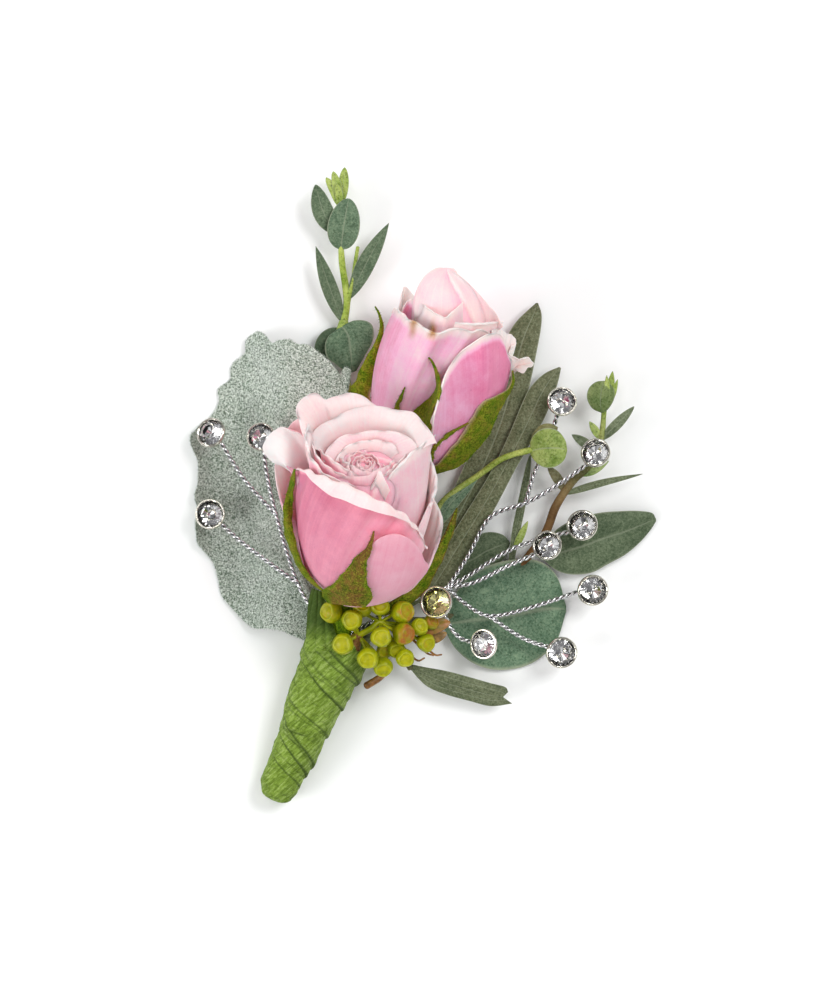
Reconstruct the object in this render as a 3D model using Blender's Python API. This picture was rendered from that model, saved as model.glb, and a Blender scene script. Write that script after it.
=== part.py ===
"""Boutonniere: two pink roses, a felted silver leaf, two leafy sprigs, long narrow leaves, a
bunch of seeded berries and eleven set stones on twisted wire, bound by green floral tape.

It lies on its back on a surface. +Z is up, +Y runs from the taped handle to the tip of the
sprig, and the origin is on the surface, under the middle of the whole. Lengths in this file
are millimetres until add_object turns them into metres.
"""

import math

import bmesh
import bpy
import numpy as np

MM = 0.001

# Driving dimensions
PETAL_THICK = 0.8
SEPAL_THICK = 0.8
LEAF_THICK = 0.8
SEAT_GAP = 0.35
WIRE_RADIUS = 0.5

# The taped handle: its two ends, the radius at each step from top to bottom, and the tape
HANDLE_TOP = np.array([-16.0, -29.4, 8.6])
HANDLE_END = np.array([-29.2, -61.0, 3.72])
HANDLE_RADII = [6.3, 6.6, 6.4, 6.0, 5.7, 5.3, 4.9, 4.6, 4.3, 4.0, 3.7]
TAPE_TURNS = 5.5
TAPE_STEP = 0.4
HOLE_DEPTH = 9.0

# Each rose: where the bloom meets its calyx, which way it leans in plan, and how far it
# rises from the surface
FRONT_ROSE_BASE = np.array([-14.0, -19.0, 15.5])
FRONT_ROSE_LEAN = 88.0
FRONT_ROSE_RISE = 42.0
BACK_ROSE_BASE = np.array([-0.8, 4.4, 7.6])
BACK_ROSE_LEAN = 78.0
BACK_ROSE_RISE = 25.0

COLOURS = {
    "tape": ((0.22, 0.42, 0.09), 0.85, 0.0),
    "petal_pale": ((0.90, 0.55, 0.60), 0.55, 0.0),
    "petal_pink": ((0.86, 0.36, 0.50), 0.55, 0.0),
    "sepal": ((0.20, 0.30, 0.05), 0.6, 0.0),
    "felt_leaf": ((0.45, 0.53, 0.48), 0.95, 0.0),
    "sprig": ((0.13, 0.26, 0.16), 0.6, 0.0),
    "long_leaf": ((0.20, 0.24, 0.15), 0.6, 0.0),
    "berry": ((0.47, 0.50, 0.08), 0.4, 0.0),
    "wire": ((0.75, 0.75, 0.75), 0.25, 1.0),
    "setting": ((0.72, 0.71, 0.66), 0.25, 1.0),
    "stone": ((0.85, 0.88, 0.90), 0.05, 0.0),
    "lime_stone": ((0.75, 0.72, 0.15), 0.05, 0.0),
}


def clear_scene():
    for thing in list(bpy.data.objects):
        bpy.data.objects.remove(thing)


def material(name):
    """The Principled material of one finish, made once."""
    made = bpy.data.materials.get(name)
    if made:
        return made
    colour, roughness, metallic = COLOURS[name]
    made = bpy.data.materials.new(name)
    made.use_nodes = True
    shader = made.node_tree.nodes["Principled BSDF"]
    shader.inputs["Base Color"].default_value = (*colour, 1.0)
    shader.inputs["Roughness"].default_value = roughness
    shader.inputs["Metallic"].default_value = metallic
    return made


def add_object(name, vertices, faces, finish=None):
    """An object from points in millimetres, its faces turned outwards."""
    mesh = bpy.data.meshes.new(name)
    mesh.from_pydata((np.asarray(vertices, float) * MM).tolist(), [], faces)
    shape = bmesh.new()
    shape.from_mesh(mesh)
    bmesh.ops.recalc_face_normals(shape, faces=shape.faces)
    if shape.calc_volume(signed=True) < 0:
        bmesh.ops.reverse_faces(shape, faces=shape.faces)
    shape.to_mesh(mesh)
    shape.free()
    made = bpy.data.objects.new(name, mesh)
    bpy.context.scene.collection.objects.link(made)
    if finish:
        made.data.materials.append(material(finish))
    return made


def fuse(name, pieces, finish, solver="MANIFOLD"):
    """One body from overlapping pieces, each a (vertices, faces) pair."""
    base = add_object(name, *pieces[0], finish)
    if len(pieces) > 1:
        others = bpy.data.collections.new(name + "_pieces")
        bpy.context.scene.collection.children.link(others)
        for number, piece in enumerate(pieces[1:]):
            extra = add_object(f"{name}_piece_{number}", *piece)
            bpy.context.scene.collection.objects.unlink(extra)
            others.objects.link(extra)
        union = base.modifiers.new("union", "BOOLEAN")
        union.operation = "UNION"
        union.operand_type = "COLLECTION"
        union.collection = others
        union.solver = solver
        bake(base)
        for extra in list(others.objects):
            bpy.data.objects.remove(extra)
        bpy.data.collections.remove(others)
        keep_outer_skin(base)
    base.data.shade_smooth()
    base.data.set_sharp_from_angle(angle=math.radians(50))
    return base


def bake(thing):
    """Puts what the modifiers make into the object's own mesh."""
    graph = bpy.context.evaluated_depsgraph_get()
    graph.update()
    mesh = bpy.data.meshes.new_from_object(thing.evaluated_get(graph))
    thing.modifiers.clear()
    thing.data = mesh


def keep_outer_skin(thing):
    """Keeps an object's largest closed skin: hollows sealed inside it are filled, and loose
    scrap left by fusing goes."""
    shape = bmesh.new()
    shape.from_mesh(thing.data)
    left, skins = set(shape.faces), []
    while left:
        skin, edge_of_search = [], [left.pop()]
        while edge_of_search:
            face = edge_of_search.pop()
            skin.append(face)
            near = {other for edge in face.edges for other in edge.link_faces} & left
            left -= near
            edge_of_search += near
        size = sum(face.calc_center_median().dot(face.normal) * face.calc_area() for face in skin) / 3
        skins.append((size / MM**3, skin))
    skins.sort(key=lambda entry: entry[0])
    for size, skin in skins[:-1]:
        print(f"{thing.name}: a skin of {size:.3f} mm3 and {len(skin)} faces goes")
        bmesh.ops.delete(shape, geom=skin, context="FACES")
    shape.to_mesh(thing.data)
    shape.free()


def unit(vectors):
    return vectors / np.linalg.norm(vectors, axis=-1, keepdims=True)


def ease(low, high, value):
    """0 below low, 1 above high, and a smooth step between."""
    share = np.clip((value - low) / (high - low), 0, 1)
    return share * share * (3 - 2 * share)


def smooth_path(points, count):
    """A curve through the points, read at even steps of its length."""
    knots = np.asarray(points, float)
    knots = np.vstack([2 * knots[0] - knots[1], knots, 2 * knots[-1] - knots[-2]])
    spans = len(knots) - 3
    position = np.linspace(0, spans, 30 * spans + 1)
    first = np.minimum(position.astype(int), spans - 1)
    f = (position - first)[:, None]
    a, b, c, d = (knots[first + k] for k in range(4))
    fine = 0.5 * (2 * b + (c - a) * f + (2 * a - 5 * b + 4 * c - d) * f**2 + (3 * b - a - 3 * c + d) * f**3)
    run = np.r_[0, np.cumsum(np.linalg.norm(np.diff(fine, axis=0), axis=1))]
    wanted = np.linspace(0, run[-1], count)
    return np.column_stack([np.interp(wanted, run, fine[:, k]) for k in range(3)])


def grid_normals(grid):
    """The unit normal at each point of a grid of rows and columns."""
    down = np.gradient(grid, axis=0)
    along = np.gradient(grid, axis=1)
    return unit(np.cross(down, along))


def slab(grid, thickness):
    """A closed sheet of even thickness about a grid, split alike on both faces."""
    rows, columns = grid.shape[:2]
    offset = grid_normals(grid) * thickness / 2
    vertices = np.concatenate([(grid + offset).reshape(-1, 3), (grid - offset).reshape(-1, 3)])
    under = rows * columns
    faces = []
    for i in range(rows - 1):
        for j in range(columns - 1):
            a, b = i * columns + j, i * columns + j + 1
            c, d = a + columns, b + columns
            if (i + j) % 2:
                top = [(a, b, c), (b, d, c)]
            else:
                top = [(a, b, d), (a, d, c)]
            faces += top
            faces += [(x + under, z + under, y + under) for x, y, z in top]
    border = [(0, j) for j in range(columns)]
    border += [(i, columns - 1) for i in range(1, rows)]
    border += [(rows - 1, j) for j in range(columns - 2, -1, -1)]
    border += [(i, 0) for i in range(rows - 2, 0, -1)]
    ring = [i * columns + j for i, j in border]
    for a, b in zip(ring, ring[1:] + ring[:1]):
        faces += [(b, a, a + under), (b, a + under, b + under)]
    return vertices, faces


def tube(points, radii, sides=6, count=None):
    """A round bar along a smooth curve through the points, with closed ends."""
    path = smooth_path(points, count or len(points))
    radii = np.interp(np.linspace(0, 1, len(path)), np.linspace(0, 1, len(radii)), radii)
    along = unit(np.gradient(path, axis=0))
    side = unit(np.cross(along, [0.02, 0.03, 1.0]))
    top = np.cross(side, along)
    turn = np.arange(sides) * 2 * math.pi / sides
    ring = np.cos(turn)[None, :, None] * side[:, None] + np.sin(turn)[None, :, None] * top[:, None]
    vertices = (path[:, None] + ring * radii[:, None, None]).reshape(-1, 3)
    faces = []
    for i in range(len(path) - 1):
        for j in range(sides):
            a, b = i * sides + j, i * sides + (j + 1) % sides
            faces += [(a, b, b + sides), (a, b + sides, a + sides)]
    last = (len(path) - 1) * sides
    faces += [tuple(range(sides)), tuple(last + j for j in range(sides - 1, -1, -1))]
    return vertices, faces


def leaf_outline(share, fullness):
    """Half the width of a leaf, as a share of its widest, along its length. fullness is how
    blunt it is at its base and at its tip: 0.5 is round and 1 is pointed."""
    base, tip = fullness
    peak = (base / (base + tip)) ** base * (tip / (base + tip)) ** tip
    return share**base * (1 - share) ** tip / peak


def leaf(rib, half_width, fullness=(0.7, 0.8), fold=0.12, roll=0.0, rows=7, columns=3,
         thickness=LEAF_THICK, ends=(0.03, 0.97)):
    """A leaf blade along its rib. fold is how far its sides rise for their width, and roll
    turns it about the rib, in degrees."""
    path = smooth_path(rib, rows)
    share = np.linspace(*ends, rows)
    along = unit(np.gradient(path, axis=0))
    side = unit(np.cross(along, [0, 0, 1]))
    up = np.cross(side, along)
    angle = math.radians(roll)
    side, up = side * math.cos(angle) + up * math.sin(angle), up * math.cos(angle) - side * math.sin(angle)
    across = np.linspace(-1, 1, columns)[None, :, None]
    width = (half_width * leaf_outline(share, fullness))[:, None, None]
    grid = path[:, None] + side[:, None] * width * across + up[:, None] * width * fold * abs(across)
    return slab(grid, thickness)


class Rose:
    """A rose's own frame: turn 0 is its right, 90 its front, 180 its left and 270 its back,
    as seen from above, and height runs along its axis from its base."""

    def __init__(self, base, lean, rise):
        plan, lift = math.radians(lean), math.radians(rise)
        self.base = base
        self.axis = np.array([math.cos(plan) * math.cos(lift), math.sin(plan) * math.cos(lift), math.sin(lift)])
        self.right = np.array([math.sin(plan), -math.cos(plan), 0.0])
        self.front = np.cross(self.right, self.axis)

    def place(self, radius, turn, height):
        radius, turn, height = np.broadcast_arrays(radius, turn, height)
        out = np.cos(turn)[..., None] * self.right + np.sin(turn)[..., None] * self.front
        return self.base + out * radius[..., None] + self.axis * height[..., None]

    def petal(self, turn, spread, length, belly, lean=0.0, lip=60.0, lip_from=0.72, tuck=0.0,
              crown=0.25, start=(2.0, 1.0), rows=6, columns=5, thickness=PETAL_THICK):
        """A petal from its foot to its rim. belly is the angle at which it leaves the axis,
        lean the tilt of its upper half and lip how far its rim rolls out, in degrees. tuck
        lifts one side over its neighbour and crown rounds its top."""
        u = np.linspace(-1, 1, columns)[None, :]
        s = np.linspace(0, 1, rows)[:, None]
        long = length * (1 - crown * abs(u) ** 2.6)
        tilt = belly * (1 - ease(0, 0.5, s)) + lean * ease(0.35, 0.8, s) + lip * ease(lip_from, 1.05, s)
        tilt = np.radians(tilt + 0 * u)
        middle = (tilt[1:] + tilt[:-1]) / 2
        step = long / (rows - 1)
        radius = start[0] + np.vstack([0 * u, np.cumsum(np.sin(middle) * step, axis=0)])
        height = start[1] + np.vstack([0 * u, np.cumsum(np.cos(middle) * step, axis=0)])
        radius = radius + tuck * u * ease(0, 0.4, s)
        around = math.radians(turn) + math.radians(spread) * u * (0.75 + 0.25 * ease(0, 0.5, s))
        return slab(self.place(radius, around, height), thickness)

    def sepal(self, turn, length, half_width, belly, lean=0.0, tail=0.0, swing=0.0, start=(2.2, -1.25),
              hug=21.0, rows=7, thickness=SEPAL_THICK):
        """A sepal from the calyx: broad at its foot, with a thin tail. hug is how far along it
        the bloom's belly turns it upright, tail curls its end outwards, and swing carries it
        round the bloom, in degrees."""
        s = np.linspace(0, 1, rows)
        run = s * length
        tilt = np.radians(belly * (1 - ease(0, hug, run)) + lean * ease(0.5 * hug, 1.3 * hug, run)
                          + tail * ease(0.6, 1, s))
        middle = (tilt[1:] + tilt[:-1]) / 2
        step = length / (rows - 1)
        radius = start[0] + np.r_[0, np.cumsum(np.sin(middle) * step)]
        height = start[1] + np.r_[0, np.cumsum(np.cos(middle) * step)]
        width = half_width * (0.62 + 0.38 * ease(0, 0.25, s)) * (1 - 0.9 * ease(0.2, 0.85, s)) + 0.12
        u = np.linspace(-1, 1, 3)[None, :]
        around = math.radians(turn) + np.radians(swing * s**2)[:, None] + u * (width / radius)[:, None]
        grid = self.place(radius[:, None] + 0 * u, around, height[:, None] + 0 * u)
        return slab(grid, thickness)


def turned(profile, sides, place, point_ends=True):
    """A body turned from a profile of (radius, height) pairs, then put where place says."""
    turn = np.arange(sides) * 2 * math.pi / sides
    vertices, faces, rings = [], [], []
    for radius, height in profile:
        if radius == 0:
            rings.append([len(vertices)])
            vertices.append((0, 0, height))
        else:
            rings.append(list(range(len(vertices), len(vertices) + sides)))
            vertices += [(radius * math.cos(a), radius * math.sin(a), height) for a in turn]
    for lower, upper in zip(rings, rings[1:]):
        for j in range(sides):
            a, b = lower[j % len(lower)], lower[(j + 1) % len(lower)]
            c, d = upper[j % len(upper)], upper[(j + 1) % len(upper)]
            if a != b:
                faces.append((a, b, d) if c != d else (a, b, c))
            if c != d:
                faces.append((a, d, c))
    return place(np.array(vertices, float)), faces


def facing(centre, direction):
    """Moves a turned body so that its axis points along direction."""
    along = unit(np.asarray(direction, float))
    side = unit(np.cross([0.1, 1.0, 0.05], along))
    other = np.cross(along, side)
    return lambda points: np.asarray(centre) + points @ np.array([side, other, along])


# The bundle's stems meet the handle here: across the handle, and up from its middle
HANDLE_AXIS = unit(HANDLE_TOP - HANDLE_END)
HANDLE_SIDE = unit(np.cross(HANDLE_AXIS, [0, 0, 1]))
HANDLE_UP = np.cross(HANDLE_SIDE, HANDLE_AXIS)
STEMS = {
    "front_rose": (-0.6, 3.0, 1.6),
    "back_rose": (0.5, -2.7, 1.5),
    "felt_leaf": (-4.4, 0.1, 0.9),
    "top_sprig": (-2.8, -3.1, 0.8),
    "long_leaves": (3.7, -2.6, 0.9),
    "right_sprig": (4.5, 0.2, 0.9),
    "berries": (3.0, 3.1, 0.8),
    "left_wire": (-3.7, 2.9, 0.6),
    "right_wire": (1.6, 0.4, 0.6),
}


def root(stem, depth):
    """A point on a stem's line inside the handle, or outside it where depth is negative."""
    across, up, _ = STEMS[stem]
    shrink = 1 - 0.018 * depth
    return HANDLE_TOP - HANDLE_AXIS * depth + (HANDLE_SIDE * across + HANDLE_UP * up) * shrink


def rooted(stem, *points):
    """A stem's route, from the bottom of its hole out through the points."""
    return [root(stem, HOLE_DEPTH), root(stem, 4.0), root(stem, 0.5), root(stem, -1.6), *points]


def handle():
    """Floral tape wound down the bundle: each turn stands proud of the last, and its top
    end has a plain hole for each stem."""
    rings, sides = 15, 14
    share = np.linspace(0, 1, rings)
    radii = np.interp(share, np.linspace(0, 1, len(HANDLE_RADII)), HANDLE_RADII)
    turn = np.arange(sides) * 2 * math.pi / sides
    wound = (share[:, None] * TAPE_TURNS + turn[None] / (2 * math.pi)) % 1.0
    radius = radii[:, None] + TAPE_STEP * (wound - 0.5)
    out = np.cos(turn)[:, None] * HANDLE_SIDE + np.sin(turn)[:, None] * HANDLE_UP
    centre = HANDLE_TOP - HANDLE_AXIS * (share * np.linalg.norm(HANDLE_TOP - HANDLE_END))[:, None]
    body = centre[:, None] + out[None] * radius[..., None]
    for inset, drop in ((0.85, 0.9), (0.5, 1.7)):
        last = HANDLE_END - HANDLE_AXIS * drop + out * radius[-1][:, None] * inset
        body = np.concatenate([body, last[None]])
    rows = len(body)
    faces = []
    for i in range(rows - 1):
        for j in range(sides):
            a, b = i * sides + j, i * sides + (j + 1) % sides
            faces += [(a, b, b + sides), (a, b + sides, a + sides)]
    faces += [tuple(range(sides)), tuple((rows - 1) * sides + j for j in range(sides))]
    made = add_object("handle_tape", body.reshape(-1, 3), faces, "tape")
    cutters = []
    for stem, (_, _, radius) in STEMS.items():
        route = [root(stem, depth) for depth in (HOLE_DEPTH + SEAT_GAP, 4.0, -1.0, -6.0)]
        cutter = add_object(f"{stem}_hole", *tube(route, [(radius + SEAT_GAP) / math.cos(math.pi / 6)], 6, 4))
        cutter.hide_render = True
        cutter.display_type = "WIRE"
        hole = made.modifiers.new(stem, "BOOLEAN")
        hole.operation = "DIFFERENCE"
        hole.object = cutter
        hole.solver = "MANIFOLD"
        cutters.append(cutter)
    bake(made)
    for cutter in cutters:
        bpy.data.objects.remove(cutter)
    made.data.shade_smooth()
    made.data.set_sharp_from_angle(angle=math.radians(50))
    return made


def stem_tube(stem, points, radii=None, sides=6, count=None):
    """The stem's own bar, from the bottom of its hole out through the points."""
    route = rooted(stem, *points)
    return tube(route, radii or [STEMS[stem][2]], sides, count or len(route) + 2)


def front_rose():
    """The larger, half open bloom: guard petals that roll out, a cup, and a wound heart."""
    rose = Rose(FRONT_ROSE_BASE, FRONT_ROSE_LEAN, FRONT_ROSE_RISE)
    core = turned([(0, 0), (2.5, 0), (7.0, 5.5), (8.5, 12), (7.0, 22), (4.5, 29), (0, 31)], 8,
                  lambda p: rose.place(np.hypot(p[:, 0], p[:, 1]), np.arctan2(p[:, 1], p[:, 0]), p[:, 2]))
    petals = [
        dict(turn=190, spread=34, length=39, belly=78, lean=8, lip=88, lip_from=0.76, tuck=0.5),
        dict(turn=10, spread=38, length=37, belly=86, lean=-8, lip=35, tuck=0.6),
        dict(turn=-30, spread=38, length=33, belly=84, lean=-6, lip=20, tuck=0.4),
        dict(turn=60, spread=40, length=31, belly=88, lean=-14, lip=0, tuck=0.3),
        dict(turn=108, spread=72, length=37, belly=77, lean=-8, lip=95, lip_from=0.82, tuck=0.5),
        dict(turn=36, spread=56, length=37, belly=73, lean=-10, lip=30, lip_from=0.85, tuck=0.5),
        dict(turn=-52, spread=56, length=40, belly=70, lean=-2, lip=35, tuck=0.4),
        dict(turn=234, spread=56, length=42, belly=69, lean=0, lip=40, tuck=0.4),
        dict(turn=-92, spread=64, length=40, belly=60, lean=-6, lip=20, tuck=0.6),
        dict(turn=150, spread=76, length=36, belly=56, lean=-12, lip=10, tuck=0.8, rows=5),
        dict(turn=20, spread=76, length=36, belly=50, lean=-14, lip=10, tuck=0.8, rows=5),
        dict(turn=130, spread=84, length=34, belly=30, lean=-12, lip=6, tuck=0.8, rows=5),
    ]
    fuse("front_rose_bloom", [core] + [rose.petal(**petal) for petal in petals], "petal_pale")
    neck = FRONT_ROSE_BASE - rose.axis * SEAT_GAP
    hip = tube(rooted("front_rose", FRONT_ROSE_BASE - rose.axis * 4.5, neck), [1.6, 1.6, 1.9, 3.2, 3.9], 6, 8)
    sepals = [
        dict(turn=184, length=29, half_width=3.0, belly=88, lean=-6, tail=8, swing=-10),
        dict(turn=98, length=27, half_width=5.2, belly=88, lean=0, tail=0, swing=-14),
        dict(turn=20, length=33, half_width=3.2, belly=86, lean=14, tail=10, swing=-8),
        dict(turn=-52, length=17, half_width=3.0, belly=84),
        dict(turn=-118, length=17, half_width=3.0, belly=84),
    ]
    fuse("front_rose_calyx", [hip] + [rose.sepal(**sepal) for sepal in sepals], "sepal")


def back_rose():
    """The smaller, tighter bud behind."""
    rose = Rose(BACK_ROSE_BASE, BACK_ROSE_LEAN, BACK_ROSE_RISE)
    core = turned([(0, 0), (2.5, 0), (6.5, 6), (7.5, 14), (6.5, 24), (4.0, 31), (0, 33)], 8,
                  lambda p: rose.place(np.hypot(p[:, 0], p[:, 1]), np.arctan2(p[:, 1], p[:, 0]), p[:, 2]))
    petals = [
        dict(turn=192, spread=44, length=37, belly=72, lean=-2, lip=8, tuck=0.4),
        dict(turn=2, spread=46, length=36, belly=74, lean=4, lip=80, lip_from=0.8, tuck=0.4),
        dict(turn=112, spread=70, length=36, belly=70, lean=-6, lip=20, lip_from=0.86, tuck=0.5),
        dict(turn=-70, spread=64, length=40, belly=66, lean=-8, lip=10, tuck=0.5),
        dict(turn=32, spread=66, length=37, belly=60, lean=-10, lip=10, tuck=0.5),
        dict(turn=218, spread=66, length=41, belly=56, lean=-12, lip=8, tuck=0.6),
        dict(turn=124, spread=74, length=40, belly=46, lean=-14, lip=8, tuck=0.6, rows=5),
        dict(turn=-40, spread=80, length=41, belly=36, lean=-14, lip=6, tuck=0.6, rows=5),
    ]
    fuse("back_rose_bloom", [core] + [rose.petal(**petal) for petal in petals], "petal_pink")
    neck = BACK_ROSE_BASE - rose.axis * SEAT_GAP
    hip = tube(rooted("back_rose", [-10.4, -19.0, 4.6], [-5.6, -8.0, 4.4], BACK_ROSE_BASE - rose.axis * 5, neck),
               [1.5, 1.5, 1.5, 1.5, 1.7, 3.0, 3.7], 6, 12)
    sepals = [
        dict(turn=178, length=36, half_width=3.0, belly=88, lean=-6, tail=12, swing=0),
        dict(turn=98, length=31, half_width=2.7, belly=88, lean=0, tail=4, swing=-16),
        dict(turn=58, length=22, half_width=1.4, belly=88, lean=0, tail=0, swing=-18),
        dict(turn=10, length=31, half_width=3.2, belly=88, lean=0, tail=10, swing=-6),
        dict(turn=-80, length=12, half_width=2.8, belly=70, hug=15),
    ]
    fuse("back_rose_calyx", [hip] + [rose.sepal(**sepal) for sepal in sepals], "sepal")


def felt_leaf_height(x, y):
    """The silver leaf touches the surface in a strip near its left margin, which curls up, and
    rises over the stems on its right."""
    rise = ease(-38.6, -26.0, x)
    wave = 0.5 * np.sin(0.42 * y + 0.15 * x) * rise
    return LEAF_THICK / 2 + 6.2 * rise + wave + 3.0 * ease(42.0, 47.5, -x)


def felt_leaf():
    """The broad silver leaf: rounded lobes between the notches of its edge."""
    notches = [(-24.2, -28.4), (-28.6, -28.0), (-36.1, -26.0), (-40.9, -20.4), (-42.3, -14.8), (-45.1, -12.0),
               (-44.9, -4.4), (-44.7, 4.6), (-45.6, 9.6), (-41.3, 15.2), (-41.0, 20.0), (-38.0, 22.4),
               (-35.5, 27.2), (-30.5, 29.4), (-25.3, 28.8), (-20.3, 26.0), (-17.0, 22.6), (-16.4, 18.6),
               (-16.2, 11.0), (-16.4, 3.0), (-17.2, -5.0), (-18.2, -13.0), (-20.0, -21.0)]
    middle = np.array([-29.0, 0.0])
    outline = []
    for here, there in zip(notches, notches[1:] + notches[:1]):
        here, there = np.array(here), np.array(there)
        chord = there - here
        out = np.array([-chord[1], chord[0]]) / np.linalg.norm(chord)
        out = out * np.sign(out @ ((here + there) / 2 - middle))
        bulge = 0.2 if here[0] < -17.1 and here[1] > -24 or there[1] < -24 else 0.04
        for share in (0.0, 0.3, 0.7):
            outline.append(here + chord * share + out * bulge * np.linalg.norm(chord) * math.sin(math.pi * share))
    outline = np.array(outline)
    count = len(outline)
    rib = np.array([[-24.0, -25.5], [-26.5, -12.0], [-28.5, 6.0], [-31.0, 22.0]])
    run = np.clip((outline[:, 1] + 25.5) / 47.5, 0, 1) * 3
    onto = np.column_stack([np.interp(run, range(4), rib[:, k]) for k in range(2)])
    rings = [onto + (outline - onto) * share for share in (1.0, 0.76, 0.6, 0.3)]
    plan = np.concatenate(rings)
    height = felt_leaf_height(plan[:, 0], plan[:, 1])
    top = np.column_stack([plan, height + LEAF_THICK / 2])
    bottom = np.column_stack([plan, height - LEAF_THICK / 2])
    under = len(plan)
    faces = []
    for ring in range(len(rings) - 1):
        for j in range(count):
            a, b = ring * count + j, ring * count + (j + 1) % count
            for tri in ((a, b, b + count), (a, b + count, a + count)):
                faces += [tri, tuple(x + under for x in reversed(tri))]
    inner = [(len(rings) - 1) * count + j for j in range(count)]
    left, right = 0, count - 1
    while right - left > 1:
        tri = (inner[left], inner[left + 1], inner[right]) if (left + right) % 2 else (inner[left], inner[right - 1], inner[right])
        left, right = (left + 1, right) if (left + right) % 2 else (left, right - 1)
        faces += [tri, tuple(x + under for x in reversed(tri))]
    for j in range(count):
        a, b = j, (j + 1) % count
        faces += [(b, a, a + under), (b, a + under, b + under)]
    blade = (np.concatenate([top, bottom]), faces)
    stalk = stem_tube("felt_leaf", [[-21.4, -24.2, 8.4], [-24.0, -19.0, 7.2], [-26.4, -10.0, 6.6]], [0.9, 0.9, 0.9, 0.9, 0.7])
    fuse("felt_leaf", [blade, stalk], "felt_leaf")


def top_sprig():
    """The eucalyptus sprig that stands above the roses."""
    stem = stem_tube("top_sprig", [[-14.4, -18.0, 4.6], [-13.6, -4.0, 2.6], [-13.8, 10.0, 2.2], [-15.4, 22.0, 2.2],
                                   [-16.1, 30.6, 2.8], [-15.3, 37.6, 3.4], [-16.3, 45.6, 4.0], [-16.8, 57.0, 5.2]],
                     [0.8, 0.8, 0.75, 0.75, 0.6], 6, 13)
    shoot = tube([[-15.1, 37.0, 3.4], [-14.1, 41.6, 4.2], [-13.5, 45.6, 4.8], [-13.1, 48.0, 5.0]], [0.5, 0.4], 5)
    leaves = [
        leaf([[-16.7, 50.4, 4.4], [-19.8, 54.6, 5.5], [-21.5, 60.4, 6.0]], 2.0, (0.7, 0.75), rows=6),
        leaf([[-16.5, 47.6, 4.4], [-15.9, 52.0, 6.2], [-14.9, 57.6, 7.0]], 3.1, (0.5, 0.7)),
        leaf([[-16.7, 56.0, 5.2], [-18.2, 59.0, 6.0], [-19.4, 61.8, 6.2]], 0.8, rows=5),
        leaf([[-16.8, 56.4, 5.2], [-17.6, 60.0, 6.2], [-18.0, 63.0, 6.6]], 0.8, rows=5),
        leaf([[-16.7, 56.0, 5.2], [-16.4, 60.0, 6.2], [-15.7, 63.8, 6.4]], 0.8, rows=5),
        leaf([[-16.0, 32.8, 3.0], [-19.1, 41.0, 4.5], [-21.5, 48.2, 4.5]], 1.4, (0.8, 1.0), rows=6),
        leaf([[-14.9, 37.6, 3.6], [-11.5, 44.6, 5.0], [-6.9, 52.8, 5.5]], 1.7, (0.8, 1.0), rows=6),
        leaf([[-16.1, 31.8, 3.0], [-14.8, 28.0, 4.6], [-13.4, 23.2, 4.8]], 4.4, (0.45, 0.5)),
        leaf([[-16.3, 31.6, 2.8], [-18.6, 29.2, 2.9], [-20.9, 26.2, 2.9]], 2.2, (0.6, 0.6), rows=5),
    ]
    fuse("top_sprig", [stem, shoot] + leaves, "sprig")


def long_leaves():
    """Long narrow leaves behind the roses, with a small round leaf on a stalk of its own."""
    stem = stem_tube("long_leaves", [[-8.0, -25.5, 5.0], [-1.0, -21.8, 4.6], [3.0, -16.0, 4.4]], None, 6, 8)
    branch = tube([[-0.6, -21.2, 4.6], [2.0, -12.0, 5.2], [2.6, -5.4, 6.0], [4.6, -2.0, 6.4], [11.3, 2.8, 7.1],
                   [16.0, 6.0, 8.2], [22.3, 7.8, 8.0]], [0.7, 0.6], 5, 12)
    leaves = [
        leaf([[0.4, -21.6, 4.6], [5.9, -10.4, 4.0], [13.3, 3.6, 3.6], [18.3, 14.6, 3.4], [20.9, 25.6, 3.2],
              [22.7, 37.2, 3.2]], 2.8, (0.5, 0.6), rows=9),
        leaf([[1.0, -21.8, 4.8], [7.7, -11.8, 6.0], [13.7, -1.2, 6.2], [19.3, 9.4, 5.8], [23.5, 16.6, 5.0],
              [27.3, 24.4, 4.0]], 2.1, (0.5, 0.7), rows=9),
        leaf([[2.0, -8.0, 5.6], [5.8, -2.6, 6.6], [11.1, 2.4, 6.8]], 1.4, (0.6, 0.9), rows=5),
        leaf([[21.0, 7.6, 8.0], [24.9, 8.2, 8.2], [28.9, 8.8, 8.0]], 3.6, (0.5, 0.5)),
    ]
    fuse("long_leaf_spray", [stem, branch] + leaves, "long_leaf")


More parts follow.
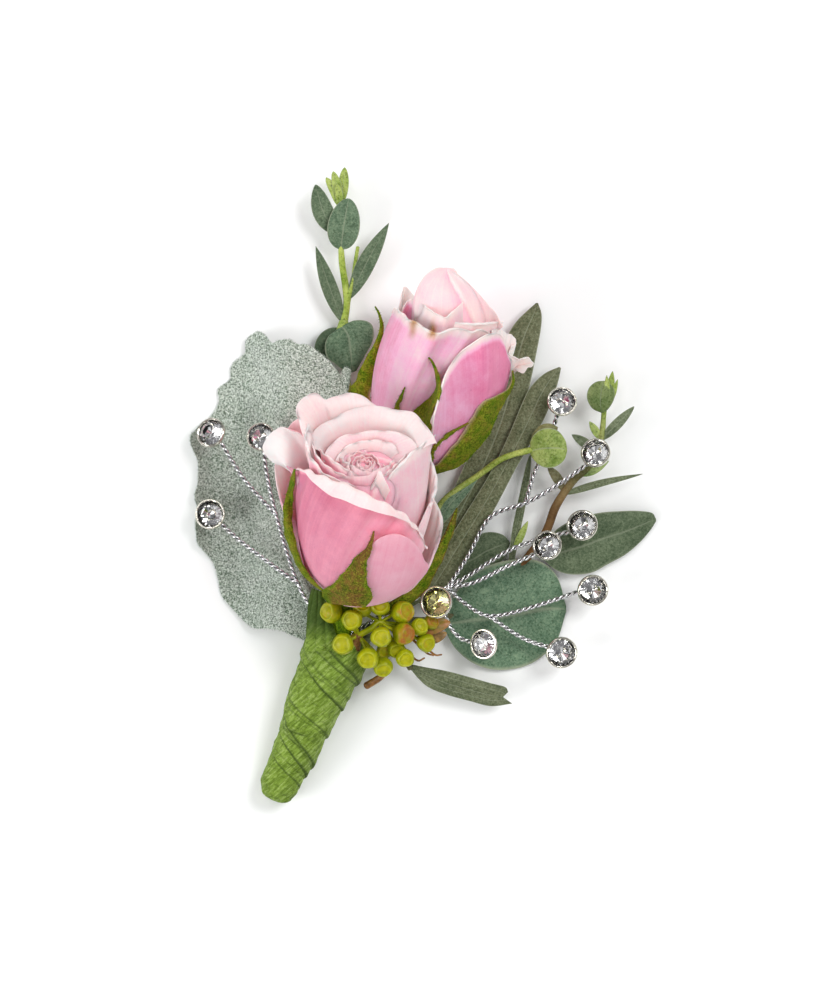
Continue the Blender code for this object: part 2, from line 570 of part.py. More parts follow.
def right_sprig():
    """The sprig on the right, with two broad leaves below and small ones at its tip."""
    stem = stem_tube("right_sprig", [root("right_sprig", -3.2), [-7.6, -26.4, 7.2], [-2.0, -26.6, 3.8], [4.0, -26.0, 2.2], [14.0, -21.0, 1.5], [23.3, -10.6, 3.2],
                                     [26.5, -3.4, 4.8], [29.9, 1.6, 5.8], [33.0, 4.4, 6.2], [35.3, 9.6, 6.6],
                                     [36.0, 16.4, 7.0]], [0.9, 0.9, 0.85, 0.8, 0.5], 6, 14)
    leaves = [
        leaf([[2.6, -26.8, 2.4], [10.0, -26.0, 3.4], [20.0, -25.4, 2.4], [28.7, -24.6, 0.5]], 11.0, (0.5, 0.45), 0.1,
             rows=8, columns=5),
        leaf([[22.6, -11.8, 3.2], [30.0, -12.6, 4.2], [38.0, -9.6, 3.0], [46.5, -5.0, 0.45]], 4.9, (0.5, 0.55), 0.14,
             rows=7),
        leaf([[3.0, -26.0, 2.2], [9.0, -15.6, 1.5], [17.4, -10.4, 1.3]], 2.6, (0.6, 0.5), rows=6),
        leaf([[3.0, -26.0, 2.6], [9.0, -17.0, 3.2], [16.6, -12.2, 2.6]], 1.6, (0.6, 0.6), rows=6),
        leaf([[17.0, -18.0, 2.0], [18.4, -9.0, 3.4], [19.8, -2.0, 4.0], [21.3, 6.6, 3.8]], 0.75, (0.5, 0.5)),
        leaf([[18.0, -12.4, 2.6], [19.3, -9.8, 4.0], [20.8, -6.6, 4.6]], 0.65, rows=5),
        leaf([[36.0, 15.0, 7.0], [35.4, 18.0, 7.6], [34.6, 21.2, 8.0]], 2.7, (0.5, 0.5)),
        leaf([[36.0, 15.4, 7.0], [37.0, 19.4, 8.0], [37.6, 23.0, 8.6]], 0.75, rows=5),
        leaf([[35.2, 9.4, 6.6], [38.4, 12.6, 7.4], [41.9, 16.2, 7.8]], 0.95, rows=5),
        leaf([[35.3, 9.6, 6.6], [34.2, 11.4, 7.0], [33.0, 13.2, 7.4]], 0.7, rows=5),
        leaf([[34.3, 7.2, 6.4], [32.0, 9.0, 6.8], [29.5, 10.6, 7.0]], 0.9, rows=5),
        leaf([[28.0, -1.2, 5.2], [35.5, 1.0, 6.2], [43.7, 2.8, 6.2]], 0.7, (0.5, 0.9), rows=5),
        leaf([[27.9, -0.6, 5.2], [26.6, 2.0, 5.4], [24.7, 4.4, 5.4]], 0.9, rows=5),
        leaf([[31.0, 2.4, 6.0], [33.8, 3.4, 6.4], [36.9, 5.4, 6.6]], 0.7, rows=5),
        leaf([[-4.0, -27.2, 4.4], [-3.4, -34.6, 4.6], [5.0, -38.4, 4.8], [15.0, -41.2, 4.2], [19.4, -42.6, 3.8]], 1.9,
             (0.35, 0.12), 0.1, rows=9),
    ]
    fuse("right_sprig", [stem] + leaves, "sprig")


def berries():
    """The bunch of seeded eucalyptus: each berry sits on a short stalk from one of two forks."""
    left_fork, right_fork = np.array([-12.9, -29.4, 14.6]), np.array([-7.6, -28.0, 13.2])
    stem = stem_tube("berries", [[-14.0, -29.8, 13.6], left_fork], None, 6, 6)
    bridge = tube([left_fork, [-10.4, -28.4, 14.2], right_fork, [-4.0, -29.0, 12.4]], [0.7, 0.55], 5)
    fruit = [
        (-18.7, -25.6, 17.0, 1.8), (-14.5, -26.6, 17.6, 1.9), (-12.1, -25.2, 16.4, 1.8), (-8.9, -24.6, 16.4, 1.8),
        (-4.1, -25.2, 14.6, 2.0), (-16.1, -31.4, 17.4, 2.0), (-8.5, -29.8, 17.0, 1.9), (-11.1, -34.0, 15.6, 2.0),
        (-8.1, -36.0, 13.2, 1.8), (-3.7, -34.2, 13.0, 1.7), (-3.7, -29.4, 15.2, 2.0), (-0.9, -28.2, 13.4, 1.6),
        (0.3, -31.2, 12.2, 1.6), (-5.7, -32.0, 14.0, 1.6),
    ]
    pieces = [stem, bridge]
    for x, y, z, radius in fruit:
        centre = np.array([x, y, z])
        fork = left_fork if np.linalg.norm(centre - left_fork) < np.linalg.norm(centre - right_fork) else right_fork
        out = unit(centre - fork)
        pieces.append(tube([fork, (fork + centre) / 2 - [0, 0, 0.3], centre - out * 0.4 * radius], [0.45, 0.4, 0.6], 4, 3))
        profile = [(0, -1.15), (0.7, -0.7), (1.0, 0.0), (0.66, 0.75), (0, 0.95)]
        pieces.append(turned([(radius * r, radius * h) for r, h in profile], 6, facing(centre, out)))
    pieces.append(leaf([[-1.6, -28.6, 12.2], [2.6, -27.6, 11.6], [6.3, -26.0, 11.4]], 1.6, (0.5, 0.6), rows=5))
    pieces.append(tube([left_fork, [-9.6, -33.4, 12.8], [-10.4, -38.6, 10.0]], [0.7, 0.9], 6, 4))
    fuse("seeded_eucalyptus", pieces, "berry")


# Each gem: its middle, the way it faces, and its size
GEMS = {
    "left_upper": ((-42.3, 11.0, 7.8), (-0.4, 0.25, 0.9), 1.0),
    "left_hidden": ((-32.3, 10.2, 11.4), (-0.15, 0.2, 1.0), 0.95),
    "left_lower": ((-42.5, -5.2, 6.4), (-0.1, 0.1, 1.0), 1.0),
    "top_right": ((27.5, 17.2, 9.8), (0.1, 0.25, 1.0), 0.98),
    "far_right": ((34.1, 7.0, 11.6), (-0.2, 0.3, 1.0), 0.98),
    "right_middle": ((31.5, -7.4, 9.8), (-0.2, 0.25, 1.0), 1.03),
    "right_inner": ((24.5, -11.4, 11.8), (-0.25, 0.2, 1.0), 0.98),
    "right_lower": ((33.7, -20.4, 7.6), (0.15, -0.2, 1.0), 1.03),
    "low_outer": ((27.5, -32.8, 7.2), (0.2, -0.2, 1.0), 1.05),
    "low_inner": ((11.9, -31.0, 9.6), (-0.32, -0.1, 0.95), 1.03),
    "lime": ((2.7, -22.6, 14.6), (-0.15, 0.1, 1.0), 1.1),
}
SETTING_DROP = 2.5


def gem(name, centre, direction, size):
    """A cut stone in a metal cup."""
    stone = [(0, -1.7), (2.35, -0.1), (2.35, 0.15), (1.35, 0.95), (0, 0.95)]
    cup = [(0, -SETTING_DROP), (1.1, -SETTING_DROP), (3.05, -0.5), (3.05, 0.25), (2.67, 0.25), (2.67, -0.3), (0, -2.12)]
    place = facing(centre, direction)
    metal = add_object(f"setting_{name}", *turned([(r * size, h * size) for r, h in cup], 8, place), "setting")
    glass = add_object(f"stone_{name}", *turned([(r * size, h * size) for r, h in stone], 8, place),
                       "lime_stone" if name == "lime" else "stone")
    for made in (metal, glass):
        made.data.shade_flat()


def wire_end(name):
    """Where a wire stops, just behind a gem's cup."""
    centre, direction, size = GEMS[name]
    return np.array(centre) - unit(np.array(direction)) * (SETTING_DROP * size + SEAT_GAP + WIRE_RADIUS)


def wire(points, count=None):
    return tube(points, [WIRE_RADIUS], 5, count or len(points) + 3)


def gems_and_wires():
    """Eleven stones on wires: three on the left and eight on the right."""
    for name, (centre, direction, size) in GEMS.items():
        gem(name, centre, direction, size)
    fork = [-29.3, -5.4, 9.6]
    left = [
        wire(rooted("left_wire", [-22.4, -23.6, 10.6], [-25.6, -17.4, 9.8], fork, [-31.2, 3.0, 9.0],
                    wire_end("left_hidden"))),
        wire([fork, [-35.6, 1.6, 7.0], wire_end("left_upper")]),
        wire([[-24.6, -19.2, 10.1], [-30.0, -15.4, 9.0], [-37.0, -10.2, 5.4], wire_end("left_lower")]),
    ]
    fuse("left_wires", left, "wire")
    bunch = [4.7, -19.8, 9.6]
    split, low_split = [20.3, -3.0, 8.2], [12.9, -25.4, 7.6]
    right = [
        wire(rooted("right_wire", [-8.4, -25.6, 9.6], [-1.0, -21.6, 9.6], bunch), 9),
        wire([bunch, [8.9, -13.4, 8.0], [13.3, -5.8, 8.0], split, [26.3, 0.4, 8.4], wire_end("far_right")]),
        wire([split, [21.9, 2.6, 7.6], [23.6, 6.4, 6.4], [25.4, 10.6, 5.8], wire_end("top_right")]),
        wire([bunch, [9.3, -17.2, 8.4], [16.3, -12.8, 7.4], [22.4, -10.4, 7.0], wire_end("right_middle")]),
        wire([bunch, [10.0, -18.8, 9.0], [17.0, -15.4, 9.0], wire_end("right_inner")]),
        wire([bunch, [8.3, -23.0, 8.4], low_split, [20.0, -24.2, 6.6], wire_end("right_lower")]),
        wire([low_split, [20.0, -30.0, 5.6], wire_end("low_outer")]),
        wire([bunch, [4.4, -25.4, 8.2], [7.6, -30.0, 5.9], wire_end("low_inner")]),
        wire([bunch, [4.2, -21.4, 10.6], wire_end("lime")], 4),
    ]
    fuse("right_wires", right, "wire")


def main():
    clear_scene()
    handle()
    front_rose()
    back_rose()
    felt_leaf()
    top_sprig()
    long_leaves()
    right_sprig()
    berries()
    gems_and_wires()


if __name__ == "__main__":
    main()
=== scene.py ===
# %% [markdown]
# A boutonniere seen from above: two pink roses, a silver felt leaf, two leafy sprigs, long
# narrow leaves, a bunch of berries and eleven cut stones on twisted wire, bound by green tape.
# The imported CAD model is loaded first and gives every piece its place. Each finer piece below
# is worked out in millimetres, in the CAD's own frame, and stands for the CAD node it replaces.

import math

import bmesh
import bpy
import numpy as np
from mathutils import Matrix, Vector


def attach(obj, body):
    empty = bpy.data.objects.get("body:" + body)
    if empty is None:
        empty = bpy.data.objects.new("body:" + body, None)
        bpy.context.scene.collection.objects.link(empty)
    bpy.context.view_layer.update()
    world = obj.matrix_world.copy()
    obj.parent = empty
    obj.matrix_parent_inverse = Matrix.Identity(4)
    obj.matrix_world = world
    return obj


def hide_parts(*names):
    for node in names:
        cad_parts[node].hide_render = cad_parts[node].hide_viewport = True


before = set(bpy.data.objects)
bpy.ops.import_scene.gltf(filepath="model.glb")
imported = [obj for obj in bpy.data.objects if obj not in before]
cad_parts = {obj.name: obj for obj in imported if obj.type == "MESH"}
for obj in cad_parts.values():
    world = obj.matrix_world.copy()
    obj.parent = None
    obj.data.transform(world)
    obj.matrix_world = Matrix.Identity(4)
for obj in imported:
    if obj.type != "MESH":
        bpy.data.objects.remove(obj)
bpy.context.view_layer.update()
MM = 0.001

# %% [markdown]
# The photograph looks straight down from far away. A camera 1.4 m above the surface with a
# long lens sees 200 mm of it from top to bottom, which is 0.2 mm to a pixel. The function
# seen gives the place in space of a point of the picture once its height is known, so leaves
# can be drawn where the photograph shows them.

# %% Camera
CAMERA = np.array([-2.2, -2.4, 1400.0])
SENSOR, SEEN_HEIGHT = 36.0, 200.0
PIXEL, ORIGIN_COLUMN, ORIGIN_ROW = 0.2, 423.5, 488.0

lens = bpy.data.cameras.new("camera")
lens.sensor_fit, lens.sensor_height = "VERTICAL", SENSOR
lens.lens = SENSOR * CAMERA[2] / SEEN_HEIGHT
lens.clip_start, lens.clip_end = 0.1, 10.0
camera = bpy.data.objects.new("camera", lens)
camera.location = CAMERA * MM
bpy.context.scene.collection.objects.link(camera)
bpy.context.scene.camera = camera


def on_ground(column, row):
    """The place on the surface that a point of the picture shows."""
    return np.column_stack([(column - ORIGIN_COLUMN) * PIXEL, (ORIGIN_ROW - row) * PIXEL])


def seen(points):
    """Points (column, row, height) to millimetres: the picture's place on the surface, moved
    towards the camera's axis by the share of the way up that the height is."""
    column, row, height = np.asarray(points, float).T
    flat = on_ground(column, row)
    near = (1 - height / CAMERA[2])[:, None]
    return np.column_stack([CAMERA[:2] + (flat - CAMERA[:2]) * near, height])


# %% [markdown]
# The studio is a white floor, a wide soft light above and to the upper right, a weak one from
# the lower left, and small bright ones overhead that the stones can mirror.

# %% Floor and lights
def mesh_piece(name, points, faces, uv=None, values=None, smooth=True, sharp=None):
    """A mesh object from points in millimetres and faces of three or four corners, where a
    fourth corner of -1 means a triangle. values are extra numbers kept at each point."""
    faces = np.asarray(faces, np.int32)
    corners = faces[faces >= 0]
    sizes = (faces >= 0).sum(axis=1)
    mesh = bpy.data.meshes.new(name)
    mesh.vertices.add(len(points))
    mesh.vertices.foreach_set("co", (np.asarray(points, float) * MM).ravel())
    mesh.loops.add(len(corners))
    mesh.loops.foreach_set("vertex_index", corners)
    mesh.polygons.add(len(faces))
    mesh.polygons.foreach_set("loop_start", np.r_[0, np.cumsum(sizes)[:-1]].astype(np.int32))
    mesh.update(calc_edges=True)
    if uv is not None:
        mesh.uv_layers.new(name="UVMap").data.foreach_set("uv", np.asarray(uv, np.float32)[corners].ravel())
    for key, value in (values or {}).items():
        mesh.attributes.new(key, "FLOAT", "POINT").data.foreach_set("value", np.asarray(value, np.float32))
    if smooth:
        mesh.shade_smooth()
        if sharp:
            mesh.set_sharp_from_angle(angle=math.radians(sharp))
    thing = bpy.data.objects.new(name, mesh)
    bpy.context.scene.collection.objects.link(thing)
    return thing


def lamp(name, place, aim, size, power):
    """A square area light at a place in millimetres, turned towards aim."""
    data = bpy.data.lights.new(name, "AREA")
    data.size, data.energy = size * MM, power
    made = bpy.data.objects.new(name, data)
    made.location = np.array(place) * MM
    way = Vector(aim) - Vector(place)
    made.rotation_euler = way.to_track_quat("-Z", "Y").to_euler()
    bpy.context.scene.collection.objects.link(made)


floor = mesh_piece("floor", [(-3000, -3000, 0), (3000, -3000, 0), (3000, 3000, 0), (-3000, 3000, 0)],
                   [(0, 1, 2, 3)], smooth=False)

lamp("key", (480, 320, 860), (0, 0, 0), 400, 5.3)
lamp("fill", (-760, -260, 520), (0, 0, 10), 500, 4.3)
lamp("rim", (-300, 800, 350), (0, 0, 10), 300, 0.8)
lamp("glint", (-150, 190, 1150), (0, 0, 0), 170, 0.9)
lamp("glint_right", (260, -130, 1150), (0, 0, 0), 150, 0.6)
lamp("glint_low", (-90, -330, 1100), (0, 0, 0), 150, 0.6)

# %% [markdown]
# Every finish is one Principled shader with a few texture nodes before it. The small helpers
# here make a node, wire what is given to it, and hand back its output, so a finish reads like
# a recipe: a colour, changed by noise, changed by how far along the piece it is.

# %% Helpers for node trees
class Nodes:
    """A node tree, and one short call for each kind of node that is used here."""

    def __init__(self, tree):
        self.tree = tree

    def node(self, kind, output=0, inputs=None, **settings):
        made = self.tree.nodes.new("ShaderNode" + kind)
        for key, value in settings.items():
            setattr(made, key, value)
        for key, value in (inputs or {}).items():
            if isinstance(value, bpy.types.NodeSocket):
                self.tree.links.new(value, made.inputs[key])
            else:
                made.inputs[key].default_value = value
        return made.outputs[output]

    def noise(self, where, scale, detail, rough=0.55, distortion=0.0):
        return self.node("TexNoise", inputs={"Vector": where, "Scale": scale, "Detail": detail,
                                             "Roughness": rough, "Distortion": distortion})

    def ramp(self, factor, stops):
        made = self.tree.nodes.new("ShaderNodeValToRGB")
        elements = made.color_ramp.elements
        for number, (position, colour) in enumerate(stops):
            element = elements[number] if number < 2 else elements.new(position)
            element.position, element.color = position, (*colour, 1)
        self.tree.links.new(factor, made.inputs[0])
        return made.outputs[0]

    def steps(self, factor, low, high, to_low=0.0, to_high=1.0):
        """The share of the way from low to high, held at both ends."""
        return self.node("MapRange", inputs={0: factor, 1: low, 2: high, 3: to_low, 4: to_high})

    def maths(self, operation, a, b=0.0):
        return self.node("Math", operation=operation, inputs={0: a, 1: b})

    def mix(self, factor, a, b, blend="MIX"):
        made = self.tree.nodes.new("ShaderNodeMix")
        made.data_type, made.blend_type = "RGBA", blend
        for key, value in ((0, factor), (6, a), (7, b)):
            if isinstance(value, bpy.types.NodeSocket):
                self.tree.links.new(value, made.inputs[key])
            else:
                made.inputs[key].default_value = (*value, 1) if key else value
        return made.outputs[2]


class Finish(Nodes):
    """One material and the nodes that colour it. Sockets that are the same all over are set on
    the shader itself."""

    def __init__(self, name, roughness, **sockets):
        self.material = bpy.data.materials.new(name)
        self.material.use_nodes = True
        super().__init__(self.material.node_tree)
        self.shader = self.tree.nodes["Principled BSDF"]
        self.shader.inputs["Roughness"].default_value = roughness
        for key, value in sockets.items():
            self.shader.inputs[key.replace("_", " ")].default_value = value
        self.coords = self.tree.nodes.new("ShaderNodeTexCoord")

    def at(self, stretch=(1, 1, 1), turn=(0, 0, 0), source="Object"):
        """Coordinates in millimetres, or the piece's own UV, turned and then stretched."""
        unit_size = 1 / MM if source == "Object" else 1
        scale = tuple(1 / (value * unit_size) for value in stretch)
        return self.node("Mapping", vector_type="TEXTURE",
                         inputs={"Vector": self.coords.outputs[source], "Scale": scale, "Rotation": turn})

    def value(self, name):
        """A number kept at each point of the mesh."""
        return self.node("Attribute", 2, attribute_name=name)

    def bump(self, height, strength, distance, under=None):
        inputs = {"Height": height, "Strength": strength, "Distance": distance * MM}
        if under is not None:
            inputs["Normal"] = under
        return self.node("Bump", inputs=inputs)

    def wire(self, **sockets):
        for key, value in sockets.items():
            self.tree.links.new(value, self.shader.inputs[key.replace("_", " ")])
        return self.material


paper = Finish("white_floor", 0.9, Specular_IOR_Level=0.2)
white = [(0.3, (0.96, 0.97, 0.965)), (0.7, (0.975, 0.98, 0.975))]
floor.data.materials.append(paper.wire(Base_Color=paper.ramp(paper.noise(paper.at(), 0.02, 2), white)))

# %% [markdown]
# The sky is made of soft panels. It is bright overhead and darker at its rim, and the dark gaps
# matter: polished metal and cut stones only sparkle when they can mirror something dark beside
# something bright.

# %% Sky
world = bpy.data.worlds.new("sky")
bpy.context.scene.world = world
world.use_nodes = True
sky = Nodes(world.node_tree)
place = sky.node("TexCoord")
rise = sky.ramp(sky.node("SeparateXYZ", 2, inputs={0: place}),
                [(0.05, (0.16, 0.16, 0.17)), (0.7, (1.0, 1.0, 1.0))])
panels = sky.ramp(sky.noise(place, 1.7, 0.0, 0.5), [(0.46, (0.34, 0.34, 0.35)), (0.53, (1.4, 1.4, 1.4))])
background = world.node_tree.nodes["Background"]
world.node_tree.links.new(sky.mix(1.0, rise, panels, "MULTIPLY"), background.inputs["Color"])
background.inputs["Strength"].default_value = 0.70
bpy.context.scene.view_settings.view_transform = "Standard"

# %% [markdown]
# Four kinds of surface make nearly everything: a thin sheet, a tube, a turned body and a
# spike. Each one is computed as whole arrays. A sheet is a grid of points pushed half its
# thickness to both sides and joined round the rim, so it is closed and has a real edge.

# %% Surface helpers
UP = np.array([0, 0, 1.0])


def unit(vectors):
    vectors = np.asarray(vectors, float)
    return vectors / np.maximum(np.linalg.norm(vectors, axis=-1, keepdims=True), 1e-12)


def ease(low, high, value):
    """0 below low, 1 above high, and a smooth step between."""
    share = np.clip((value - low) / (high - low), 0, 1)
    return share * share * (3 - 2 * share)


def circle(count):
    """Even turns, in radians, round a circle."""
    return np.arange(count) * 2 * math.pi / count


def square_to(path, about):
    """For each point of a path: its way on, and two directions square to that and each other."""
    along = unit(np.gradient(path, axis=0))
    side = unit(np.cross(along, about))
    return along, side, np.cross(side, along)


def spokes(side, top, count):
    """Directions all round each point of a path."""
    turn = circle(count)
    return np.cos(turn)[None, :, None] * side[:, None] + np.sin(turn)[None, :, None] * top[:, None]


def smooth_path(points, count):
    """A curve through the points, read at even steps of its length: between two points it is
    the cubic whose slope at each is half the way from the point before to the point after."""
    knots = np.asarray(points, float)
    knots = np.vstack([2 * knots[0] - knots[1], knots, 2 * knots[-1] - knots[-2]])
    spans = len(knots) - 3
    position = np.linspace(0, spans, 40 * spans + 1)
    first = np.minimum(position.astype(int), spans - 1)
    f = (position - first)[:, None]
    a, b, c, d = (knots[first + k] for k in range(4))
    fine = 0.5 * (2 * b + (c - a) * f + (2 * a - 5 * b + 4 * c - d) * f**2 + (3 * b - a - 3 * c + d) * f**3)
    run = np.r_[0, np.cumsum(np.linalg.norm(np.diff(fine, axis=0), axis=1))]
    wanted = np.linspace(0, run[-1], count)
    return np.column_stack([np.interp(wanted, run, fine[:, k]) for k in range(fine.shape[1])])


def ripple(points, scale, seed):
    """A smooth bumpy value from -1 to 1 at each point: five sine waves in directions and with
    phases drawn from a seeded generator, added together."""
    draw = np.random.default_rng(seed)
    ways = unit(draw.normal(size=(5, points.shape[-1]))) * draw.uniform(0.6, 1.6, (5, 1)) * scale
    return np.sin(points @ ways.T + draw.uniform(0, 6.28, 5)).sum(axis=-1) / 5


class Skins:
    """Closed skins gathered for one piece, with a UV and any further values at each point."""

    def __init__(self):
        self.points, self.faces, self.uv, self.values, self.count = [], [], [], {}, 0

    def add(self, points, faces, uv=None, **values):
        points, faces = np.asarray(points, float), np.asarray(faces)
        a, b, c = (points[faces[:, k]] for k in range(3))
        d = points[np.where(faces[:, 3] < 0, faces[:, 2], faces[:, 3])]
        inside = (a * np.cross(b, c)).sum() + (a * np.cross(c, d)).sum()
        if inside < 0:
            faces = np.where(faces[:, 3:] < 0, np.column_stack([faces[:, 2::-1], faces[:, 3]]), faces[:, ::-1])
        self.faces.append(np.where(faces < 0, -1, faces + self.count))
        self.points.append(points)
        self.uv.append(np.zeros((len(points), 2)) if uv is None else uv)
        for key in set(self.values) | set(values):
            past = self.values.setdefault(key, [np.zeros(self.count)] if self.count else [])
            past.append(np.broadcast_to(np.asarray(values.get(key, 0.0), float), (len(points),)))
        self.count += len(points)

    def sheet(self, grid, thickness, thin_edge, **values):
        """The grid's points plus and minus half the thickness along its normals. Each value may
        be one grid, or a pair of grids for the outer and the inner face."""
        rows, columns = grid.shape[:2]
        normal = unit(np.cross(np.gradient(grid, axis=0), np.gradient(grid, axis=1)))
        v, u = np.meshgrid(np.linspace(0, 1, rows), np.linspace(0, 1, columns), indexing="ij")
        edge = np.minimum.reduce([4 * u, 4 * (1 - u), 6 * (1 - v), 6 * v + 0.4])
        half = (thickness / 2 * (thin_edge + (1 - thin_edge) * ease(0, 1, edge)))[..., None]
        points = np.concatenate([(grid + normal * half).reshape(-1, 3), (grid - normal * half).reshape(-1, 3)])
        index = np.arange(rows * columns).reshape(rows, columns)
        top = np.stack([index[:-1, :-1], index[1:, :-1], index[1:, 1:], index[:-1, 1:]], axis=-1).reshape(-1, 4)
        ring = np.r_[index[0, :], index[1:, -1], index[-1, -2::-1], index[-2:0:-1, 0]]
        after, under = np.roll(ring, -1), rows * columns
        side = np.column_stack([ring, after, after + under, ring + under])
        flat = {}
        for key, value in values.items():
            outer, inner = value if isinstance(value, tuple) else (value, value)
            flat[key] = np.concatenate([np.broadcast_to(outer, (rows, columns)).ravel(),
                                        np.broadcast_to(inner, (rows, columns)).ravel()])
        uv = np.tile(np.column_stack([u.ravel(), v.ravel()]), (2, 1))
        self.add(points, np.concatenate([top, top[:, ::-1] + under, side]), uv, **flat)

    def rings(self, rings, **values):
        """A closed body from rings of points: row after row of quads, and a fan at each end
        about that ring's middle."""
        rows, sides = rings.shape[:2]
        index = np.arange(rows * sides).reshape(rows, sides)
        after = np.roll(index, -1, axis=1)
        wall = np.stack([index[:-1], after[:-1], after[1:], index[1:]], axis=-1).reshape(-1, 4)
        first, last = rows * sides, rows * sides + 1
        none = np.full(sides, -1)
        ends = np.concatenate([np.column_stack([after[0], index[0], np.full(sides, first), none]),
                               np.column_stack([index[-1], after[-1], np.full(sides, last), none])])
        points = np.concatenate([rings.reshape(-1, 3), rings[:1].mean(axis=1), rings[-1:].mean(axis=1)])
        along = np.linspace(0, 1, rows)
        turn = abs(np.linspace(-1, 1, sides, endpoint=False))
        uv = np.column_stack([np.tile(turn, rows), np.repeat(along, sides)])
        flat = {}
        for key, value in values.items():
            value = np.broadcast_to(value, (rows, sides))
            flat[key] = np.r_[value.ravel(), np.mean(value[0]), np.mean(value[-1])]
        self.add(points, np.concatenate([wall, ends]), np.vstack([uv, [0.5, along[0]], [0.5, along[-1]]]),
                 **flat)

    def tube(self, points, radii, sides, count, lumps=0.0, **values):
        """A round bar: rings square to a smooth curve, with the radius and any values read along
        it and both ends rounded off."""
        path = smooth_path(points, count)
        radius = np.interp(np.linspace(0, 1, count), np.linspace(0, 1, len(radii)), radii)
        along, side, top = square_to(path, (0.02, 0.03, 1.0))
        out = spokes(side, top, sides)
        grid = path[:, None] + out * radius[:, None, None]
        if lumps:
            grid = grid + out * (lumps * ripple(grid, 0.9, 0))[..., None]
        for end, way in ((0, -1), (-1, 1)):
            cap = [path[end] + along[end] * way * radius[end] * reach + (grid[end] - path[end]) * width
                   for reach, width in ((0.45, 0.55), (0.26, 0.85))]
            grid = np.concatenate([cap, grid]) if end == 0 else np.concatenate([grid, cap[::-1]])
        spread = np.linspace(0, 1, len(grid))
        self.rings(grid, **{key: np.interp(spread, np.linspace(0, 1, np.size(value)), np.ravel(value))[:, None]
                            for key, value in values.items()})

    def turned(self, profile, place, sides):
        """A body turned from a profile of (radius, height) pairs about its own axis."""
        radius, height = np.array(profile, float).T
        turn = circle(sides)
        grid = np.stack([radius[:, None] * np.cos(turn), radius[:, None] * np.sin(turn),
                         np.repeat(height[:, None], sides, axis=1)], axis=-1)
        self.rings(place(grid))

    def spikes(self, feet, ways, lengths, width, **values):
        """Fine hairs: each is a closed three-sided spike from its foot along its way."""
        ways, lengths = unit(ways), np.asarray(lengths, float)[:, None]
        side = unit(np.cross(ways, [0.31, 0.57, 0.76]))
        other = np.cross(ways, side)
        corners = [feet + (side * math.cos(a) + other * math.sin(a)) * width for a in (0, 2.094, 4.189)]
        count = len(feet)
        points = np.concatenate(corners + [feet + ways * lengths])
        i = np.arange(count)
        a, b, c, tip, none = i, i + count, i + 2 * count, i + 3 * count, np.full(count, -1)
        triangles = (a, b, tip, none), (b, c, tip, none), (c, a, tip, none), (c, b, a, none)
        faces = np.concatenate([np.column_stack(triangle) for triangle in triangles])
        flat = {key: np.tile(np.broadcast_to(value, (count,)), 4) for key, value in values.items()}
        self.add(points, faces, **flat)

    def piece(self, name, finish, node, sharp=50):
        """Makes the piece, and hides the CAD node it stands for."""
        values = {key: np.concatenate(value) for key, value in self.values.items()}
        made = mesh_piece(name, np.concatenate(self.points), np.concatenate(self.faces),
                          np.concatenate(self.uv), values, sharp=sharp)
        made.data.materials.append(finish)
        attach(made, "root")
        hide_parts(node)
        low, high = np.array(made.bound_box).min(axis=0) / MM, np.array(made.bound_box).max(axis=0) / MM
        print(f"{name}: {len(made.data.polygons)} faces, from {low.round(1)} to {high.round(1)} mm")


def facing(centre, direction):
    """Moves a turned body so that its axis points along direction."""
    along = unit(np.asarray(direction, float))
    side = unit(np.cross([0.1, 1.0, 0.05], along))
    other = np.cross(along, side)
    return lambda points: np.asarray(centre) + points @ np.array([side, other, along])


# %% [markdown]
# The stems go into the taped handle as in the CAD model: each has a place across the handle's
# top, and starts inside it. The same numbers as there are named here once.

# %% The handle's axis and the stems' roots
HANDLE_TOP = np.array([-16.0, -29.4, 8.6])
HANDLE_END = np.array([-29.2, -61.0, 3.72])
HANDLE_RADII = [6.3, 6.6, 6.4, 6.0, 5.7, 5.3, 4.9, 4.6, 4.3, 4.0, 3.7]
HANDLE_AXIS = unit(HANDLE_TOP - HANDLE_END)
HANDLE_SIDE = unit(np.cross(HANDLE_AXIS, UP))
HANDLE_UP = np.cross(HANDLE_SIDE, HANDLE_AXIS)
STEMS = {
    "front_rose": (-0.6, 3.0, 1.6), "back_rose": (0.5, -2.7, 1.5), "felt_leaf": (-4.4, 0.1, 0.9),
    "top_sprig": (-2.8, -3.1, 0.8), "long_leaves": (3.7, -2.6, 0.9), "right_sprig": (4.5, 0.2, 0.9),
    "berries": (3.0, 3.1, 0.8), "left_wire": (-3.7, 2.9, 0.6), "right_wire": (1.6, 0.4, 0.6),
}


def rooted(stem, *points):
    """A stem's route: from inside the handle, out of its top, and on through the points."""
    across, up, _ = STEMS[stem]
    depth = np.array([9.0, 4.0, 0.5, -1.6])[:, None]
    inside = HANDLE_TOP - HANDLE_AXIS * depth + (HANDLE_SIDE * across + HANDLE_UP * up) * (1 - 0.018 * depth)
    return [*inside, *points]
